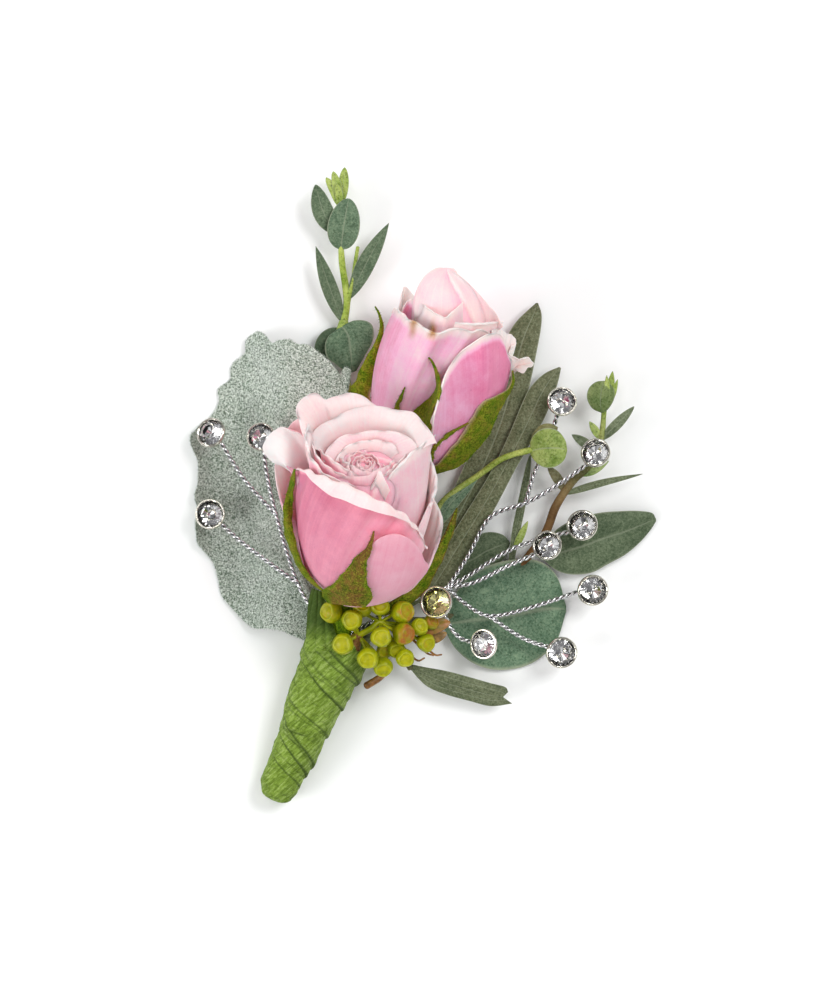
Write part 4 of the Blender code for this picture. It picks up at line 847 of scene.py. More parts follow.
# %% Back rose petals
pink_stops = [(0.0, (0.92, 0.82, 0.77)), (0.2, (0.97, 0.72, 0.70)), (0.38, (0.98, 0.60, 0.65)),
              (0.54, (0.99, 0.43, 0.61)), (0.75, (0.88, 0.23, 0.40)), (1.0, (0.70, 0.11, 0.26))]
petal_pink = petal_finish("petal_rose_pink", pink_stops, (0.50, 0.06, 0.18))
BACK_PETALS = [
    # Behind, and the ragged rim on the right
    dict(rim=[(-150, 9.6, 29), (-120, 10.0, 32.5), (-90, 9.4, 33.5), (-55, 9.0, 32.5), (-25, 9.8, 29)],
         turn=-88, half=76, own=True, low=(9.5, 1), high=(11.6, 15), lip=0.5, roll=70, out=0.5),
    dict(rim=[(492, 330, 33.4), (499, 328, 32.6), (505, 333, 31.2), (512, 335, 30), (516, 342, 28.8),
              (510, 349, 28.6), (512, 356, 27.6), (520, 359, 26.8), (528, 358, 26.2), (534, 363.5, 25),
              (528, 368, 24.4), (522, 373, 23.8), (514, 368, 23.6), (508, 362, 24)], turn=-8, half=38,
         low=(10, 1), high=(13.2, 25), out=0.16, inner=0.05, pale=0.0, columns=100, ruffle=0.16, waves=13,
         band=2.5),
    # The front petal, and the right one that overlaps it
    dict(rim=[(466, 372, 24.0), (481, 350, 28.8), (490, 337, 32.6), (485, 331, 34.2), (478, 330.5, 34.9),
              (472, 332.5, 34.8), (465, 329.5, 35.2), (455, 329, 35.2), (445, 331.5, 34.9), (437, 334, 34.5),
              (429, 331.5, 34.3), (419, 325, 33.8), (409, 320, 33), (402, 314, 32.2), (396, 309, 30.6),
              (393, 313, 28)], turn=128, half=62, low=((8.8, 9.8, 11.4), -0.5), high=((10.6, 12.8, 15.4), 15.5),
         lip=(0.1, 0.2, 0.6, 0.5, 0.4), roll=100, out=0.49, shade=(0.34, 0.15), columns=96, ruffle=0.09,
         waves=9, band=0.6),
    dict(rim=[(432, 436, 15.5), (434, 418, 19.6), (439, 397, 23.2), (445, 378, 26.4), (453, 362, 29.0),
              (461, 352, 30.9), (472, 345, 32.6), (481, 339, 34.2), (488, 335, 34.8), (497, 333.5, 34),
              (503, 340, 32), (506, 351, 29.2), (511, 362, 25.8), (509, 370, 22.5)], turn=38, half=72,
         low=(10.4, 0), high=((15.6, 15.2, 14.2), 15), lip=0.25, roll=70, out=0.72, side=-0.24, low_tone=-0.3,
         columns=90, ruffle=0.08, band=0.4, edge=0.3),
    dict(rim=[(402, 304, 31.0), (402, 294, 32.6), (405, 286.5, 33.2), (410, 291, 33.0), (415, 299, 32.6),
              (418, 308, 31.4)], turn=184, half=30, low=(8.0, 3), high=(10.6, 18), out=0.2, inner=0.2,
         ruffle=0.05, pale=0.1, band=0.6),
    dict(rim=[(403, 308, 32.4), (409, 299, 34), (416, 302, 34.4), (423, 309, 34.6), (428, 317, 34.6),
              (433, 328, 33.8)], turn=160, half=44, low=(8, 3), high=(10.6, 18), out=0.66, inner=0.7,
         ruffle=0.05, band=0.5),
    # Two petals that lie on the dome: a pale one over its right side, and one across its front
    dict(rim=[(452, 288, 39.6), (452.5, 280, 41), (451.5, 271, 42.4), (458, 274, 42), (466, 281, 40.8),
              (476, 290.5, 39.3), (484, 300, 38), (493, 310, 36.6), (499, 319, 35.2), (503, 327, 33.8)],
         turn=22, half=66, low=((7.5, 7, 4), 2), high=((9.4, 9.2, 8.6, 5.4), 27), out=0.31, pale=0.22,
         ruffle=0.05, band=0.3, edge=0.0, columns=80),
    dict(rim=[(421, 303, 36), (428, 309, 36.2), (436, 314.5, 36.4), (444, 318, 36.4), (450, 315, 37),
              (456, 309, 37.8), (463, 303, 38.6)], turn=112, half=52, low=(7.5, 2), high=(9.6, 22), lip=0.25,
         roll=60, out=0.34, inner=0.5, ruffle=0.05, band=0.5),
    dict(rim=[(455, 322.5, 36.4), (468, 324, 36.2), (480, 324, 35.6), (492, 323, 34.6), (503, 322, 33.6)],
         turn=42, half=48, low=(8, 2), high=(8.6, 20), lip=(0.2, 0.5, 0.6, 0.3), roll=110, out=0.3, pale=0.08,
         ruffle=0.05, band=0.6),
]
skins = Skins()
bloom(BACK_ROSE, BACK_PETALS, skins,
      spots=[tuple(place[:2]) for place in seen([(414, 326, 29), (433, 331, 31)])])
BACK_PACK = [(1.0, 4.0), (5.0, 9.0), (7.0, 18.0), (7.6, 27.0), (7.7, 31.0), (7.3, 34.5), (6.4, 37.2),
             (5.2, 39.4), (3.7, 40.9), (2.0, 42.0), (0.2, 42.7)]
packed(BACK_ROSE, skins, BACK_PACK, 3, -1.3, 0.6, centre=(0.4, -0.6), tip=-3.2, tone=0.31, edge_tone=0.23,
       phase=0.62)
back_bloom = np.concatenate(skins.points)
skins.piece("back_rose_petals", petal_pink, "back_rose_bloom")

# %% [markdown]
# Under each bloom is the calyx: the round hip on top of the stem and five sepals. A rose's
# sepals are green and downy, with a brown or red inner side and fine gland hairs along their
# toothed edges. The sheet's width follows the CAD's, and hairs are spikes set on it by rule.

# %% Sepal finish
sepal = Finish("sepal_green", 0.8, Specular_IOR_Level=0.05)
patches = sepal.noise(sepal.at(), 0.55, 5, 0.6)
fine = sepal.noise(sepal.at(), 3.0, 5, 0.7)
fresh = sepal.mix(sepal.steps(patches, 0.35, 0.65), (0.065, 0.14, 0.003), (0.20, 0.33, 0.008))
brown = sepal.mix(sepal.steps(patches, 0.35, 0.65), (0.10, 0.045, 0.012), (0.22, 0.115, 0.028))
mixed = sepal.mix(sepal.steps(sepal.maths("ADD", sepal.value("brown"),
                                          sepal.steps(patches, 0.3, 0.7, -0.15, 0.15)), 0.62, 0.95), fresh,
                  brown)
mixed = sepal.mix(sepal.steps(fine, 0.53, 0.62, 0, 0.5), mixed, (0.38, 0.47, 0.03))
mixed = sepal.mix(sepal.steps(fine, 0.48, 0.40, 0, 0.65), mixed, (0.02, 0.035, 0.003))
mixed = sepal.mix(sepal.value("rim"), mixed, (0.62, 0.42, 0.33))
sepal_material = sepal.wire(Base_Color=mixed, Normal=sepal.bump(sepal.noise(sepal.at(), 4.0, 4, 0.7), 0.5, 0.1))


# %% The two calyxes
def laid_on(bloom_points, grid, gap):
    """Each point of the grid goes the gap above the highest bloom point within 0.7 mm of it in
    plan; where there is none it keeps its own height. Passes of averages even it out."""
    flat = grid.reshape(-1, 3)
    low, high = flat[:, :2].min(axis=0) - 1, flat[:, :2].max(axis=0) + 1
    near = bloom_points[((bloom_points[:, :2] > low) & (bloom_points[:, :2] < high)).all(axis=1)]
    away = np.hypot(flat[:, None, 0] - near[None, :, 0], flat[:, None, 1] - near[None, :, 1])
    top = np.where(away < 0.7, near[None, :, 2], -99.0).max(axis=1)
    height = np.where(top > -50, np.maximum(top + gap, flat[:, 2] - 3.0), flat[:, 2]).reshape(grid.shape[:2])
    for _ in range(6):
        edge = np.pad(height, ((2, 2), (1, 1)), mode="edge")
        height = sum(edge[i:i + height.shape[0], j:j + height.shape[1]] for i in range(5)
                     for j in range(3)) / 15
    return np.dstack([grid[..., :2], np.maximum(height, 0.6)])


SEPAL_ROWS, SEPAL_COLUMNS = 70, 13


def sepal_between(skins, left, right, bloom_points, brown, seed, hairs=110, gap=0.45, edge_brown=0.4,
                  rim=(0.0, 0.0)):
    """A sepal between its two edges as the photograph shows them: a keel down its middle, fine
    teeth and gland hairs along its edges, and its height taken from the bloom it lies on."""
    left, right = smooth_path(seen(left), SEPAL_ROWS), smooth_path(seen(right), SEPAL_ROWS)
    v = np.linspace(0, 1, SEPAL_COLUMNS)[None, :, None]
    s = np.linspace(0, 1, SEPAL_ROWS)
    tooth = 0.10 * np.sin(26 * s + seed) + 0.07 * np.sin(61 * s + 2 * seed)
    tooth = tooth * ease(0.02, 0.2, s) * ease(1.0, 0.7, s)
    across = unit(right - left)
    left, right = left - across * tooth[:, None], right + across * tooth[::-1, None]
    grid = left[:, None] * (1 - v) + right[:, None] * v
    if bloom_points is not None:
        grid = laid_on(bloom_points, grid, gap)
    width = np.linalg.norm(right - left, axis=1)[:, None]
    keel = 0.45 * width * v[..., 0] * (1 - v[..., 0]) + 0.12 * np.exp(-((v[..., 0] - 0.5) / 0.08) ** 2)
    grid = grid + keel[..., None] * UP
    tone = brown + edge_brown * ease(0.3, 0.5, abs(v[..., 0] - 0.5)) + 0.3 * ease(0.55, 0.95, s)[:, None]
    pale = rim[0] * ease(0.12, 0.02, v[..., 0]) + rim[1] * ease(0.88, 0.98, v[..., 0]) + 0 * tone
    skins.sheet(grid, 0.4, 0.4, brown=(tone, np.maximum(tone, 0.75)), rim=pale)
    draw = np.random.default_rng(seed + 11)
    row, last = draw.integers(2, SEPAL_ROWS - 1, hairs), SEPAL_COLUMNS - 1
    at_edge = draw.random(hairs) < 0.7
    column = np.where(at_edge, draw.choice([0, last], hairs), draw.integers(0, SEPAL_COLUMNS, hairs))
    sideways = unit(grid[row, last] - grid[row, 0]) * (column / last * 2 - 1)[:, None]
    ways = sideways + [0, 0, 0.4] + 0.35 * draw.normal(size=(hairs, 3))
    skins.spikes(grid[row, column], ways, draw.uniform(0.25, 0.65, hairs), 0.04, brown=0.6)


def sepal_hidden(rose, skins, turn, length, half_width, belly, hug):
    """A sepal that the photograph hides, as in the CAD: it leaves the calyx and bends upright."""
    s = np.linspace(0, 1, 40)
    tilt = np.radians(belly * (1 - ease(0, hug, s * length)))
    step = length / (len(s) - 1)
    radius = 2.2 + np.r_[0, np.cumsum(np.sin(tilt[1:]) * step)]
    height = -1.25 + np.r_[0, np.cumsum(np.cos(tilt[1:]) * step)]
    width = half_width * (0.62 + 0.38 * ease(0, 0.25, s)) * (1 - 0.9 * ease(0.2, 0.85, s)) + 0.12
    u = np.linspace(-1, 1, 9)[None, :]
    grid = rose.place(radius[:, None] + 0 * u, math.radians(turn) + u * (width / radius)[:, None],
                      height[:, None] + 0 * u)
    skins.sheet(grid, 0.4, 0.4, brown=(0.2, 0.75))


neck = FRONT_ROSE.base - FRONT_ROSE.axis * 0.35
skins = Skins()
skins.tube(rooted("front_rose", FRONT_ROSE.base - FRONT_ROSE.axis * 4.5, neck), [1.6, 1.6, 1.9, 3.2, 3.9], 28,
           90, lumps=0.07, brown=0.12)
sepal_between(skins, [(326, 592, 18), (310, 582, 20), (300, 570, 22), (291, 552, 24), (285, 533, 26),
                      (283, 513, 29), (286, 495, 31), (290, 480, 33), (294, 469, 34)],
              [(336, 598, 18), (322, 588, 20), (308, 572, 22), (299, 553, 24), (294, 533, 26), (292, 514, 29),
               (293, 497, 31), (295, 482, 33), (295.5, 469, 34)], front_bloom, 0.1, 1, gap=0.3)
sepal_between(skins, [(328, 603, 17), (322, 592, 20), (334, 583, 26), (345, 571, 30), (354, 559, 33),
                      (364, 550, 36), (370, 541, 38), (373.5, 531, 40)],
              [(366, 606, 17), (373, 596, 20), (368.5, 585, 26), (366.5, 571, 30), (368, 560, 33),
               (371, 551, 36), (373.5, 542, 38), (374.5, 531, 40)], front_bloom, 0.9, 2, hairs=260,
              edge_brown=-0.35)
sepal_between(skins, [(376, 606, 14), (392, 601, 15), (411, 587, 16), (423, 570, 18), (432, 556, 20),
                      (441, 540, 22), (448, 526, 24), (456, 508, 25)],
              [(385, 616, 13), (408, 606, 13), (427, 588, 14), (436, 572, 16), (444, 556, 18), (450, 541, 20),
               (455, 526, 22), (457.5, 508, 25)], None, 0.55, 3, hairs=120)
sepal_hidden(FRONT_ROSE, skins, -52, 17, 3.0, 84, 21)
sepal_hidden(FRONT_ROSE, skins, -118, 17, 3.0, 84, 21)
skins.piece("front_rose_sepals", sepal_material, "front_rose_calyx", sharp=60)

neck = BACK_ROSE.base - BACK_ROSE.axis * 0.35
skins = Skins()
skins.tube(rooted("back_rose", [-10.4, -19.0, 4.6], [-5.6, -8.0, 4.4], BACK_ROSE.base - BACK_ROSE.axis * 5,
                  neck), [1.5, 1.5, 1.5, 1.5, 1.7, 3.0, 3.7], 28, 110, lumps=0.07, brown=0.12)
sepal_between(skins, [(398, 470, 7), (372, 425, 8), (351, 392, 10), (356, 380, 11), (362, 366, 12),
                      (369, 352, 13), (377, 338, 14), (380, 325, 14.5), (378, 314, 15), (374.5, 307, 15.5)],
              [(420, 470, 7), (392, 430, 8), (371, 400, 10), (374, 385, 11), (377, 366, 12), (380, 352, 13),
               (382.5, 339, 14), (383.5, 326, 14.5), (380.5, 314, 15), (375.5, 306, 15.5)], None, -0.15, 4,
              hairs=150, rim=(0, 0.7))
sepal_between(skins, [(414, 470, 10), (404, 440, 14), (394, 412, 20), (398, 400, 23), (402, 392, 25),
                      (404.5, 387, 26)], [(426, 470, 10), (412, 440, 14), (400, 412, 20), (402, 400, 23),
                                          (404, 392, 25), (405.5, 387, 26)], back_bloom, 0.3, 5, hairs=60)
sepal_between(skins, [(414, 474, 8), (412, 450, 10), (411, 425, 18), (414, 412, 22), (424, 402, 25),
                      (433, 394, 28), (436.5, 384, 29), (434, 370, 30), (430.5, 361, 31), (427, 356.5, 31.5)],
              [(428, 474, 8), (429, 455, 10), (430, 437, 18), (433, 412, 22), (438, 402, 25), (441.5, 392, 28),
               (441, 380, 29), (437, 369, 30), (433, 361, 31), (428, 356, 31.5)], back_bloom, 0.34, 6,
              hairs=150)
sepal_between(skins, [(426, 468, 8), (430, 452, 13), (434, 446, 16), (444, 436, 18), (455, 429, 19),
                      (468, 422.5, 19)], [(432, 468, 8), (434, 456, 13), (436, 449, 16), (446, 439, 18),
                                          (456, 432, 19), (468.5, 424, 19)], back_bloom, 0.5, 7, hairs=70)
sepal_between(skins, [(424, 470, 7), (437, 464, 9), (450, 449, 11), (463, 432, 12), (473, 415, 13),
                      (480, 404, 14), (494, 397, 15), (506, 390, 16), (511, 382, 16.5), (511.5, 371, 17)],
              [(424, 478, 5), (440, 473, 6), (456, 468, 7), (471, 456, 8), (485, 440, 9), (495, 421, 10.5),
               (504, 402, 13), (511, 391, 15), (514.5, 382, 16.5), (513, 370, 17)], back_bloom, -0.12, 8,
              hairs=220, rim=(0.8, 0.0), gap=0.6)
sepal_hidden(BACK_ROSE, skins, -80, 12, 2.8, 70, 15)
skins.piece("back_rose_sepals", sepal_material, "back_rose_calyx", sharp=60)

# %% [markdown]
# The silver leaf is a dusty miller leaf: thick, scalloped, and covered in white felt. Its
# outline is a closed curve through the tips and notches of its lobes. The sheet is drawn in
# rays from its middle to that curve, its height follows the CAD's rise over the stems, and
# shallow veins run to the lobes. The felt is a fringe and nap of fine spikes over a speckled,
# very matt finish.

# %% Felt finish
felt = Finish("silver_felt", 0.95, Specular_IOR_Level=0.05, Sheen_Weight=0.1, Sheen_Roughness=0.6)
wool = felt.noise(felt.at(), 2.0, 8, 0.85)
patch = felt.noise(felt.at(), 0.16, 4, 0.55)
hair = felt.noise(felt.at(), 3.5, 4, 0.8)
grey = felt.mix(felt.steps(patch, 0.35, 0.65), (0.34, 0.46, 0.33), (0.58, 0.68, 0.57))
grey = felt.mix(felt.maths("MULTIPLY", felt.value("vein"), 0.45), grey, (0.58, 0.64, 0.58))
grey = felt.mix(felt.steps(wool, 0.50, 0.56, 0, 0.9), grey, (0.88, 0.95, 0.87))
grey = felt.mix(felt.steps(wool, 0.49, 0.43, 0, 0.9), grey, (0.06, 0.11, 0.06))
grey = felt.mix(felt.steps(hair, 0.52, 0.56, 0, 0.8), grey, (0.90, 0.96, 0.89))
grey = felt.mix(felt.steps(hair, 0.47, 0.43, 0, 0.8), grey, (0.04, 0.075, 0.04))
felt_bump = felt.bump(felt.maths("ADD", wool, felt.maths("MULTIPLY", hair, 0.3)), 1.0, 0.5)
felt_material = felt.wire(Base_Color=grey, Normal=felt_bump)

# %% The silver leaf
LEAF_EDGE = [(312, 643), (296, 637), (280, 630), (256, 628), (248, 625), (234, 610), (222, 596), (218, 578),
             (213, 562), (203, 550), (197, 541), (196, 520), (199, 512), (195, 497), (198, 480), (198, 462),
             (192, 447), (191, 436), (200, 425), (212, 415), (219, 402), (218, 390), (224, 384), (230, 380),
             (231, 368), (236, 361), (245, 353), (246, 341), (256, 332), (264, 334), (272, 343), (280, 340),
             (290, 340), (297, 344), (308, 345), (318, 352), (328, 360), (337, 371), (340, 374), (345, 367),
             (351, 372), (348, 392), (344, 430), (342, 480), (338, 530), (333, 580), (324, 616)]
FRINGE, NAP, HAIR = 2600, 9000, 0.035


def felt_height(x, y):
    """The CAD leaf's middle height: it touches the surface near its left margin, rises over the
    stems to its right, and its left margin curls up."""
    rise = ease(-38.6, -26.0, x)
    return 0.4 + 6.2 * rise + 0.5 * np.sin(0.42 * y + 0.15 * x) * rise + 3.0 * ease(42.0, 47.5, -x)


def near_lines(x, y, lines):
    """The distance of each point from the nearest of the lines, each a pair of ends."""
    best = np.full(np.shape(x), 99.0)
    for (ax, ay), (bx, by) in lines:
        along = np.clip(((x - ax) * (bx - ax) + (y - ay) * (by - ay)) / ((bx - ax) ** 2 + (by - ay) ** 2), 0, 1)
        best = np.minimum(best, np.hypot(x - ax - along * (bx - ax), y - ay - along * (by - ay)))
    return best


def silver_leaf():
    """Rays from the middle to the outline; along a ray the height is the CAD's, plus veins,
    puckers between them and a small curl at the very edge."""
    flat = np.array([(column, row, 0.0) for column, row in LEAF_EDGE + LEAF_EDGE[:1]])
    edge = smooth_path(seen(flat)[:, :2], 481)[:-1]
    lift = 1 - felt_height(edge[:, 0], edge[:, 1])[:, None] / CAMERA[2]
    edge = CAMERA[:2] + (edge - CAMERA[:2]) * lift
    edge = edge + 0.12 * unit(edge - [-29, 0]) * ripple(edge, 2.4, 8)[:, None]
    share = np.linspace(0.03, 1, 46)[:, None, None]
    middle = np.array([-28.5, -1.0])
    plan = middle + (edge - middle)[None] * share
    x, y = plan[..., 0], plan[..., 1]
    rib = [((-21.5, -25.0), (-26.0, -12.0)), ((-26.0, -12.0), (-28.5, 6.0)), ((-28.5, 6.0), (-30.0, 25.0))]
    ribs = [((-25, -16), (-40, -20)), ((-26, -10), (-44, -9)), ((-27, -3), (-45, 3)), ((-28, 3), (-41, 12)),
            ((-28.5, 8), (-38, 21)), ((-28.7, 12), (-34, 27)), ((-28, 8), (-20, 22)), ((-28, 2), (-18, 12)),
            ((-27, -4), (-17, 0))]
    main, sides = near_lines(x, y, rib), near_lines(x, y, ribs)
    vein = np.maximum(np.exp(-(main / 0.9) ** 2), 0.6 * np.exp(-(sides / 0.9) ** 2))
    soft = np.exp(-(main / 2.2) ** 2) + 0.7 * np.exp(-(sides / 1.7) ** 2)
    pucker = 0.34 * ripple(plan, 0.75, 5) + 0.2 * ripple(plan, 1.7, 6)
    height = felt_height(x, y) - 0.5 * soft + 0.2 * vein + pucker * ease(1.0, 0.7, share[..., 0])
    height = height + 0.35 * ease(0.9, 1.0, share[..., 0])
    top = np.dstack([plan, np.maximum(height, 0.3)])
    thick = 0.28 * (1 - 0.45 * ease(0.93, 1.0, share))
    rows, sides = top.shape[:2]
    upper, lower = top + UP * thick, top - UP * np.minimum(thick, top[..., 2:] - 0.005)
    skins = Skins()
    skins.rings(np.concatenate([upper, lower[::-1]]), vein=np.concatenate([vein, vein[::-1]]))
    draw = np.random.default_rng(21)
    picks = draw.integers(0, sides, FRINGE)
    feet = (upper[-1, picks] + lower[-1, picks]) / 2
    out = np.column_stack([unit(edge - middle)[picks], np.zeros(FRINGE)])
    skins.spikes(feet, out + 0.6 * draw.normal(size=feet.shape), draw.uniform(0.15, 0.5, FRINGE), HAIR,
                 vein=1.0)
    lines, picks = draw.integers(2, rows - 1, NAP), draw.integers(0, sides, NAP)
    keep = draw.random(NAP) < share[lines, 0, 0]
    feet = upper[lines[keep], picks[keep]]
    ways = 0.7 * UP + 0.8 * draw.normal(size=feet.shape)
    skins.spikes(feet, ways, draw.uniform(0.12, 0.4, len(feet)), HAIR, vein=1.0)
    skins.tube(rooted("felt_leaf", [-21.4, -24.2, 8.4], [-24.0, -19.0, 7.2], [-26.4, -10.0, 6.2]),
               [0.9, 0.9, 0.9, 0.9, 0.5], 14, 40, vein=0.6)
    skins.piece("silver_leaf", felt_material, "felt_leaf", sharp=70)


silver_leaf()

# %% [markdown]
# Eucalyptus leaves are smooth, leathery and covered by a bluish bloom that rubs off to olive. A
# leaf is drawn between its two edges where the photograph shows both, or along its rib with a
# width that starts round and ends pointed. Both are grids, so the finish can put the midrib,
# side veins and pale margin where they belong by the leaf's own UV.

# %% Leaf finish
def leaf_finish(name, roughness=0.55):
    """Blue-green, turned grey-olive, fresh yellow-green, darkened or brown by the values so named. The
    darkening is painted shade on leaves that lie in shadow, and a darker tone on others.
    """
    made = Finish(name, roughness, Specular_IOR_Level=0.15)
    clouds = made.steps(made.noise(made.at(), 0.3, 6, 0.65), 0.32, 0.68)
    grain = made.noise(made.at(), 2.2, 7, 0.8)
    colour = made.mix(clouds, (0.072, 0.142, 0.085), (0.17, 0.27, 0.17))
    colour = made.mix(made.value("olive"), colour, made.mix(clouds, (0.085, 0.10, 0.045), (0.18, 0.19, 0.105)))
    colour = made.mix(made.value("fresh"), colour, made.mix(clouds, (0.20, 0.31, 0.02), (0.54, 0.62, 0.15)))
    colour = made.mix(made.steps(grain, 0.52, 0.60, 0, 0.22), colour, (0.50, 0.58, 0.36))
    colour = made.mix(made.steps(grain, 0.48, 0.40, 0, 0.65), colour, (0.02, 0.035, 0.012))
    parts = made.node("SeparateXYZ", inputs={"Vector": made.at(source="UV")})
    across = made.maths("ABSOLUTE", made.maths("SUBTRACT", parts, 0.5))
    along = made.node("SeparateXYZ", 1, inputs={"Vector": made.at(source="UV")})
    slope = made.maths("SUBTRACT", along, made.maths("MULTIPLY", across, 0.55))
    wave = made.maths("ABSOLUTE", made.maths("SUBTRACT",
                                             made.maths("FRACT", made.maths("MULTIPLY", slope, 9.0)), 0.5))
    side_vein = made.maths("MULTIPLY", made.steps(wave, 0.05, 0.0), 0.14)
    midrib = made.steps(across, 0.035, 0.008)
    veins = made.maths("MAXIMUM", side_vein, made.maths("MULTIPLY", midrib, 0.45))
    veins = made.maths("MULTIPLY", veins, made.value("blade"))
    margin = made.maths("MULTIPLY", made.steps(across, 0.465, 0.495, 0, 0.8), made.value("blade"))
    colour = made.mix(made.maths("MAXIMUM", veins, margin), colour, (0.36, 0.40, 0.28))
    # Painted shade on leaves that lie in shadow, and a darker tone on the others: mixed towards near black.
    colour = made.mix(made.value("deep"), colour, (0.015, 0.03, 0.01))
    colour = made.mix(made.value("brown"), colour, made.mix(clouds, (0.10, 0.045, 0.015), (0.27, 0.14, 0.05)))
    lift = made.maths("ADD", made.maths("MULTIPLY", grain, 0.6), made.maths("MULTIPLY", veins, -0.8))
    return made.wire(Base_Color=colour, Normal=made.bump(lift, 0.5, 0.14))


sprig_material = leaf_finish("eucalyptus_leaf")
long_material = leaf_finish("long_grey_leaf", 0.5)


# %% Leaf shapes
def leaf_width(share, fullness):
    """share to the power of the base times what is left to the power of the tip, over its peak."""
    base, tip = fullness
    peak = (base / (base + tip)) ** base * (tip / (base + tip)) ** tip
    return share**base * (1 - share) ** tip / peak


def blade(skins, grid, thickness, **values):
    """A grid as a leaf's sheet, held above the surface."""
    grid[..., 2] = np.maximum(grid[..., 2], thickness / 2 + LOWEST)
    skins.sheet(grid, thickness, 0.4, blade=1.0, **values)


def leaf(skins, rib, half_width, fullness=(0.7, 0.8), rows=36, columns=13, seed=0, **values):
    """A blade along its rib: the width is spread to both sides, and the sides rise by 0.12 of
    their width."""
    path = smooth_path(rib, rows)
    _, side, up = square_to(path, UP)
    across = np.linspace(-1, 1, columns)[None, :, None]
    width = (half_width * leaf_width(np.linspace(0.004, 0.996, rows), fullness))[:, None, None]
    rise = width * 0.12 * (abs(across) ** 1.4)
    grid = path[:, None] + side[:, None] * width * across + up[:, None] * rise
    blade(skins, grid + 0.05 * ripple(grid, 1.3, seed)[..., None] * up[:, None], 0.3, **values)


def leaf_between(skins, left, right, arch, seed, columns, rows=60, ripples=0.12, **values):
    """A blade drawn between two edges, each a curve through picture points with heights. It
    arches between them by a share of its width, and its surface ripples a little."""
    left, right = smooth_path(seen(left), rows), smooth_path(seen(right), rows)
    v = np.linspace(0, 1, columns)[None, :, None]
    width = np.linalg.norm(right - left, axis=1)[:, None, None]
    grid = left[:, None] * (1 - v) + right[:, None] * v
    lift = arch * width * v * (1 - v) - 0.02 * width * np.exp(-((v - 0.5) / 0.05) ** 2)
    lift = lift + (ripples * ripple(grid, 0.6, seed) * np.minimum(1, width[..., 0] / 4))[..., None]
    blade(skins, grid + lift * UP, 0.32, **values)


# %% The top sprig
def top_sprig():
    skins = Skins()
    skins.tube(rooted("top_sprig", [-14.4, -18.0, 4.6], [-13.6, -4.0, 2.6], [-13.8, 10.0, 2.2],
                      [-15.4, 22.0, 2.2], [-16.1, 30.6, 2.8], [-15.3, 37.6, 3.4], [-16.3, 45.6, 4.0],
                      [-16.8, 57.0, 5.2]), [0.8, 0.8, 0.75, 0.75, 0.5], 14, 120, lumps=0.08, fresh=1.0)
    skins.tube([[-15.1, 37.0, 3.4], [-14.1, 41.6, 4.2], [-13.5, 45.6, 4.8], [-13.1, 48.0, 5.0]], [0.5, 0.35],
               10, 24, fresh=0.9)
    skins.tube([[-16.2, 29.6, 3.2], [-16.1, 31.0, 3.4], [-15.9, 33.2, 3.4]], [0.9, 1.35, 0.9], 14, 20,
               lumps=0.12, fresh=0.8)
    leaf(skins, [[-16.7, 50.4, 4.4], [-19.8, 54.6, 5.5], [-21.5, 60.4, 6.0]], 2.1, (0.7, 0.75), seed=1,
         olive=0.4, deep=0.2)
    leaf(skins, [[-16.5, 47.6, 4.4], [-15.9, 52.0, 6.2], [-14.9, 57.6, 7.0]], 3.2, (0.5, 0.6), seed=2,
         olive=0.15, deep=0.15, columns=19)
    for tip, seed, size in (((-19.4, 61.8, 6.2), 3, 0.9), ((-18.0, 63.0, 6.6), 4, 1.0),
                            ((-15.7, 63.8, 6.4), 5, 1.1), ((-17.4, 60.6, 7.0), 25, 0.8)):
        middle = (np.array([-16.7, 56.0, 5.2]) + tip) / 2 + [0.2, 0.3, 0.3]
        leaf(skins, [[-16.7, 56.0, 5.2], middle, tip], size, (0.6, 0.6), seed=seed, rows=20, columns=9,
             fresh=0.85)
    leaf(skins, [[-16.0, 32.8, 3.0], [-19.1, 41.0, 4.5], [-21.5, 48.2, 4.5]], 1.6, (0.8, 1.0), seed=6,
         olive=0.4, deep=0.3)
    leaf(skins, [[-14.9, 37.6, 3.6], [-11.5, 44.6, 5.0], [-6.9, 52.8, 5.5]], 1.8, (0.8, 1.0), seed=7,
         olive=0.35, deep=0.25)
    leaf_between(skins, [(340, 329, 3.4), (330, 335, 4.2), (325, 345, 4.6), (327, 357, 4.8), (334, 363, 4.8),
                         (342, 369, 4.8), (350, 373, 4.6)],
                 [(342, 328, 3.6), (353, 321, 4.4), (366, 321, 4.8), (373, 327, 5.0), (373, 340, 5.0),
                  (367, 352, 4.8), (356, 371, 4.6)], 0.22, seed=8, columns=31, olive=0.15, deep=0.15)
    # This leaf lies behind and to the left, in shadow: its darkening is painted shade.
    leaf(skins, [[-16.3, 31.6, 2.8], [-18.9, 29.0, 2.9], [-20.9, 25.8, 2.9]], 2.4, (0.6, 0.6), seed=9,
         olive=0.3, deep=0.5)
    skins.piece("upper_sprig", sprig_material, "top_sprig", sharp=60)


top_sprig()

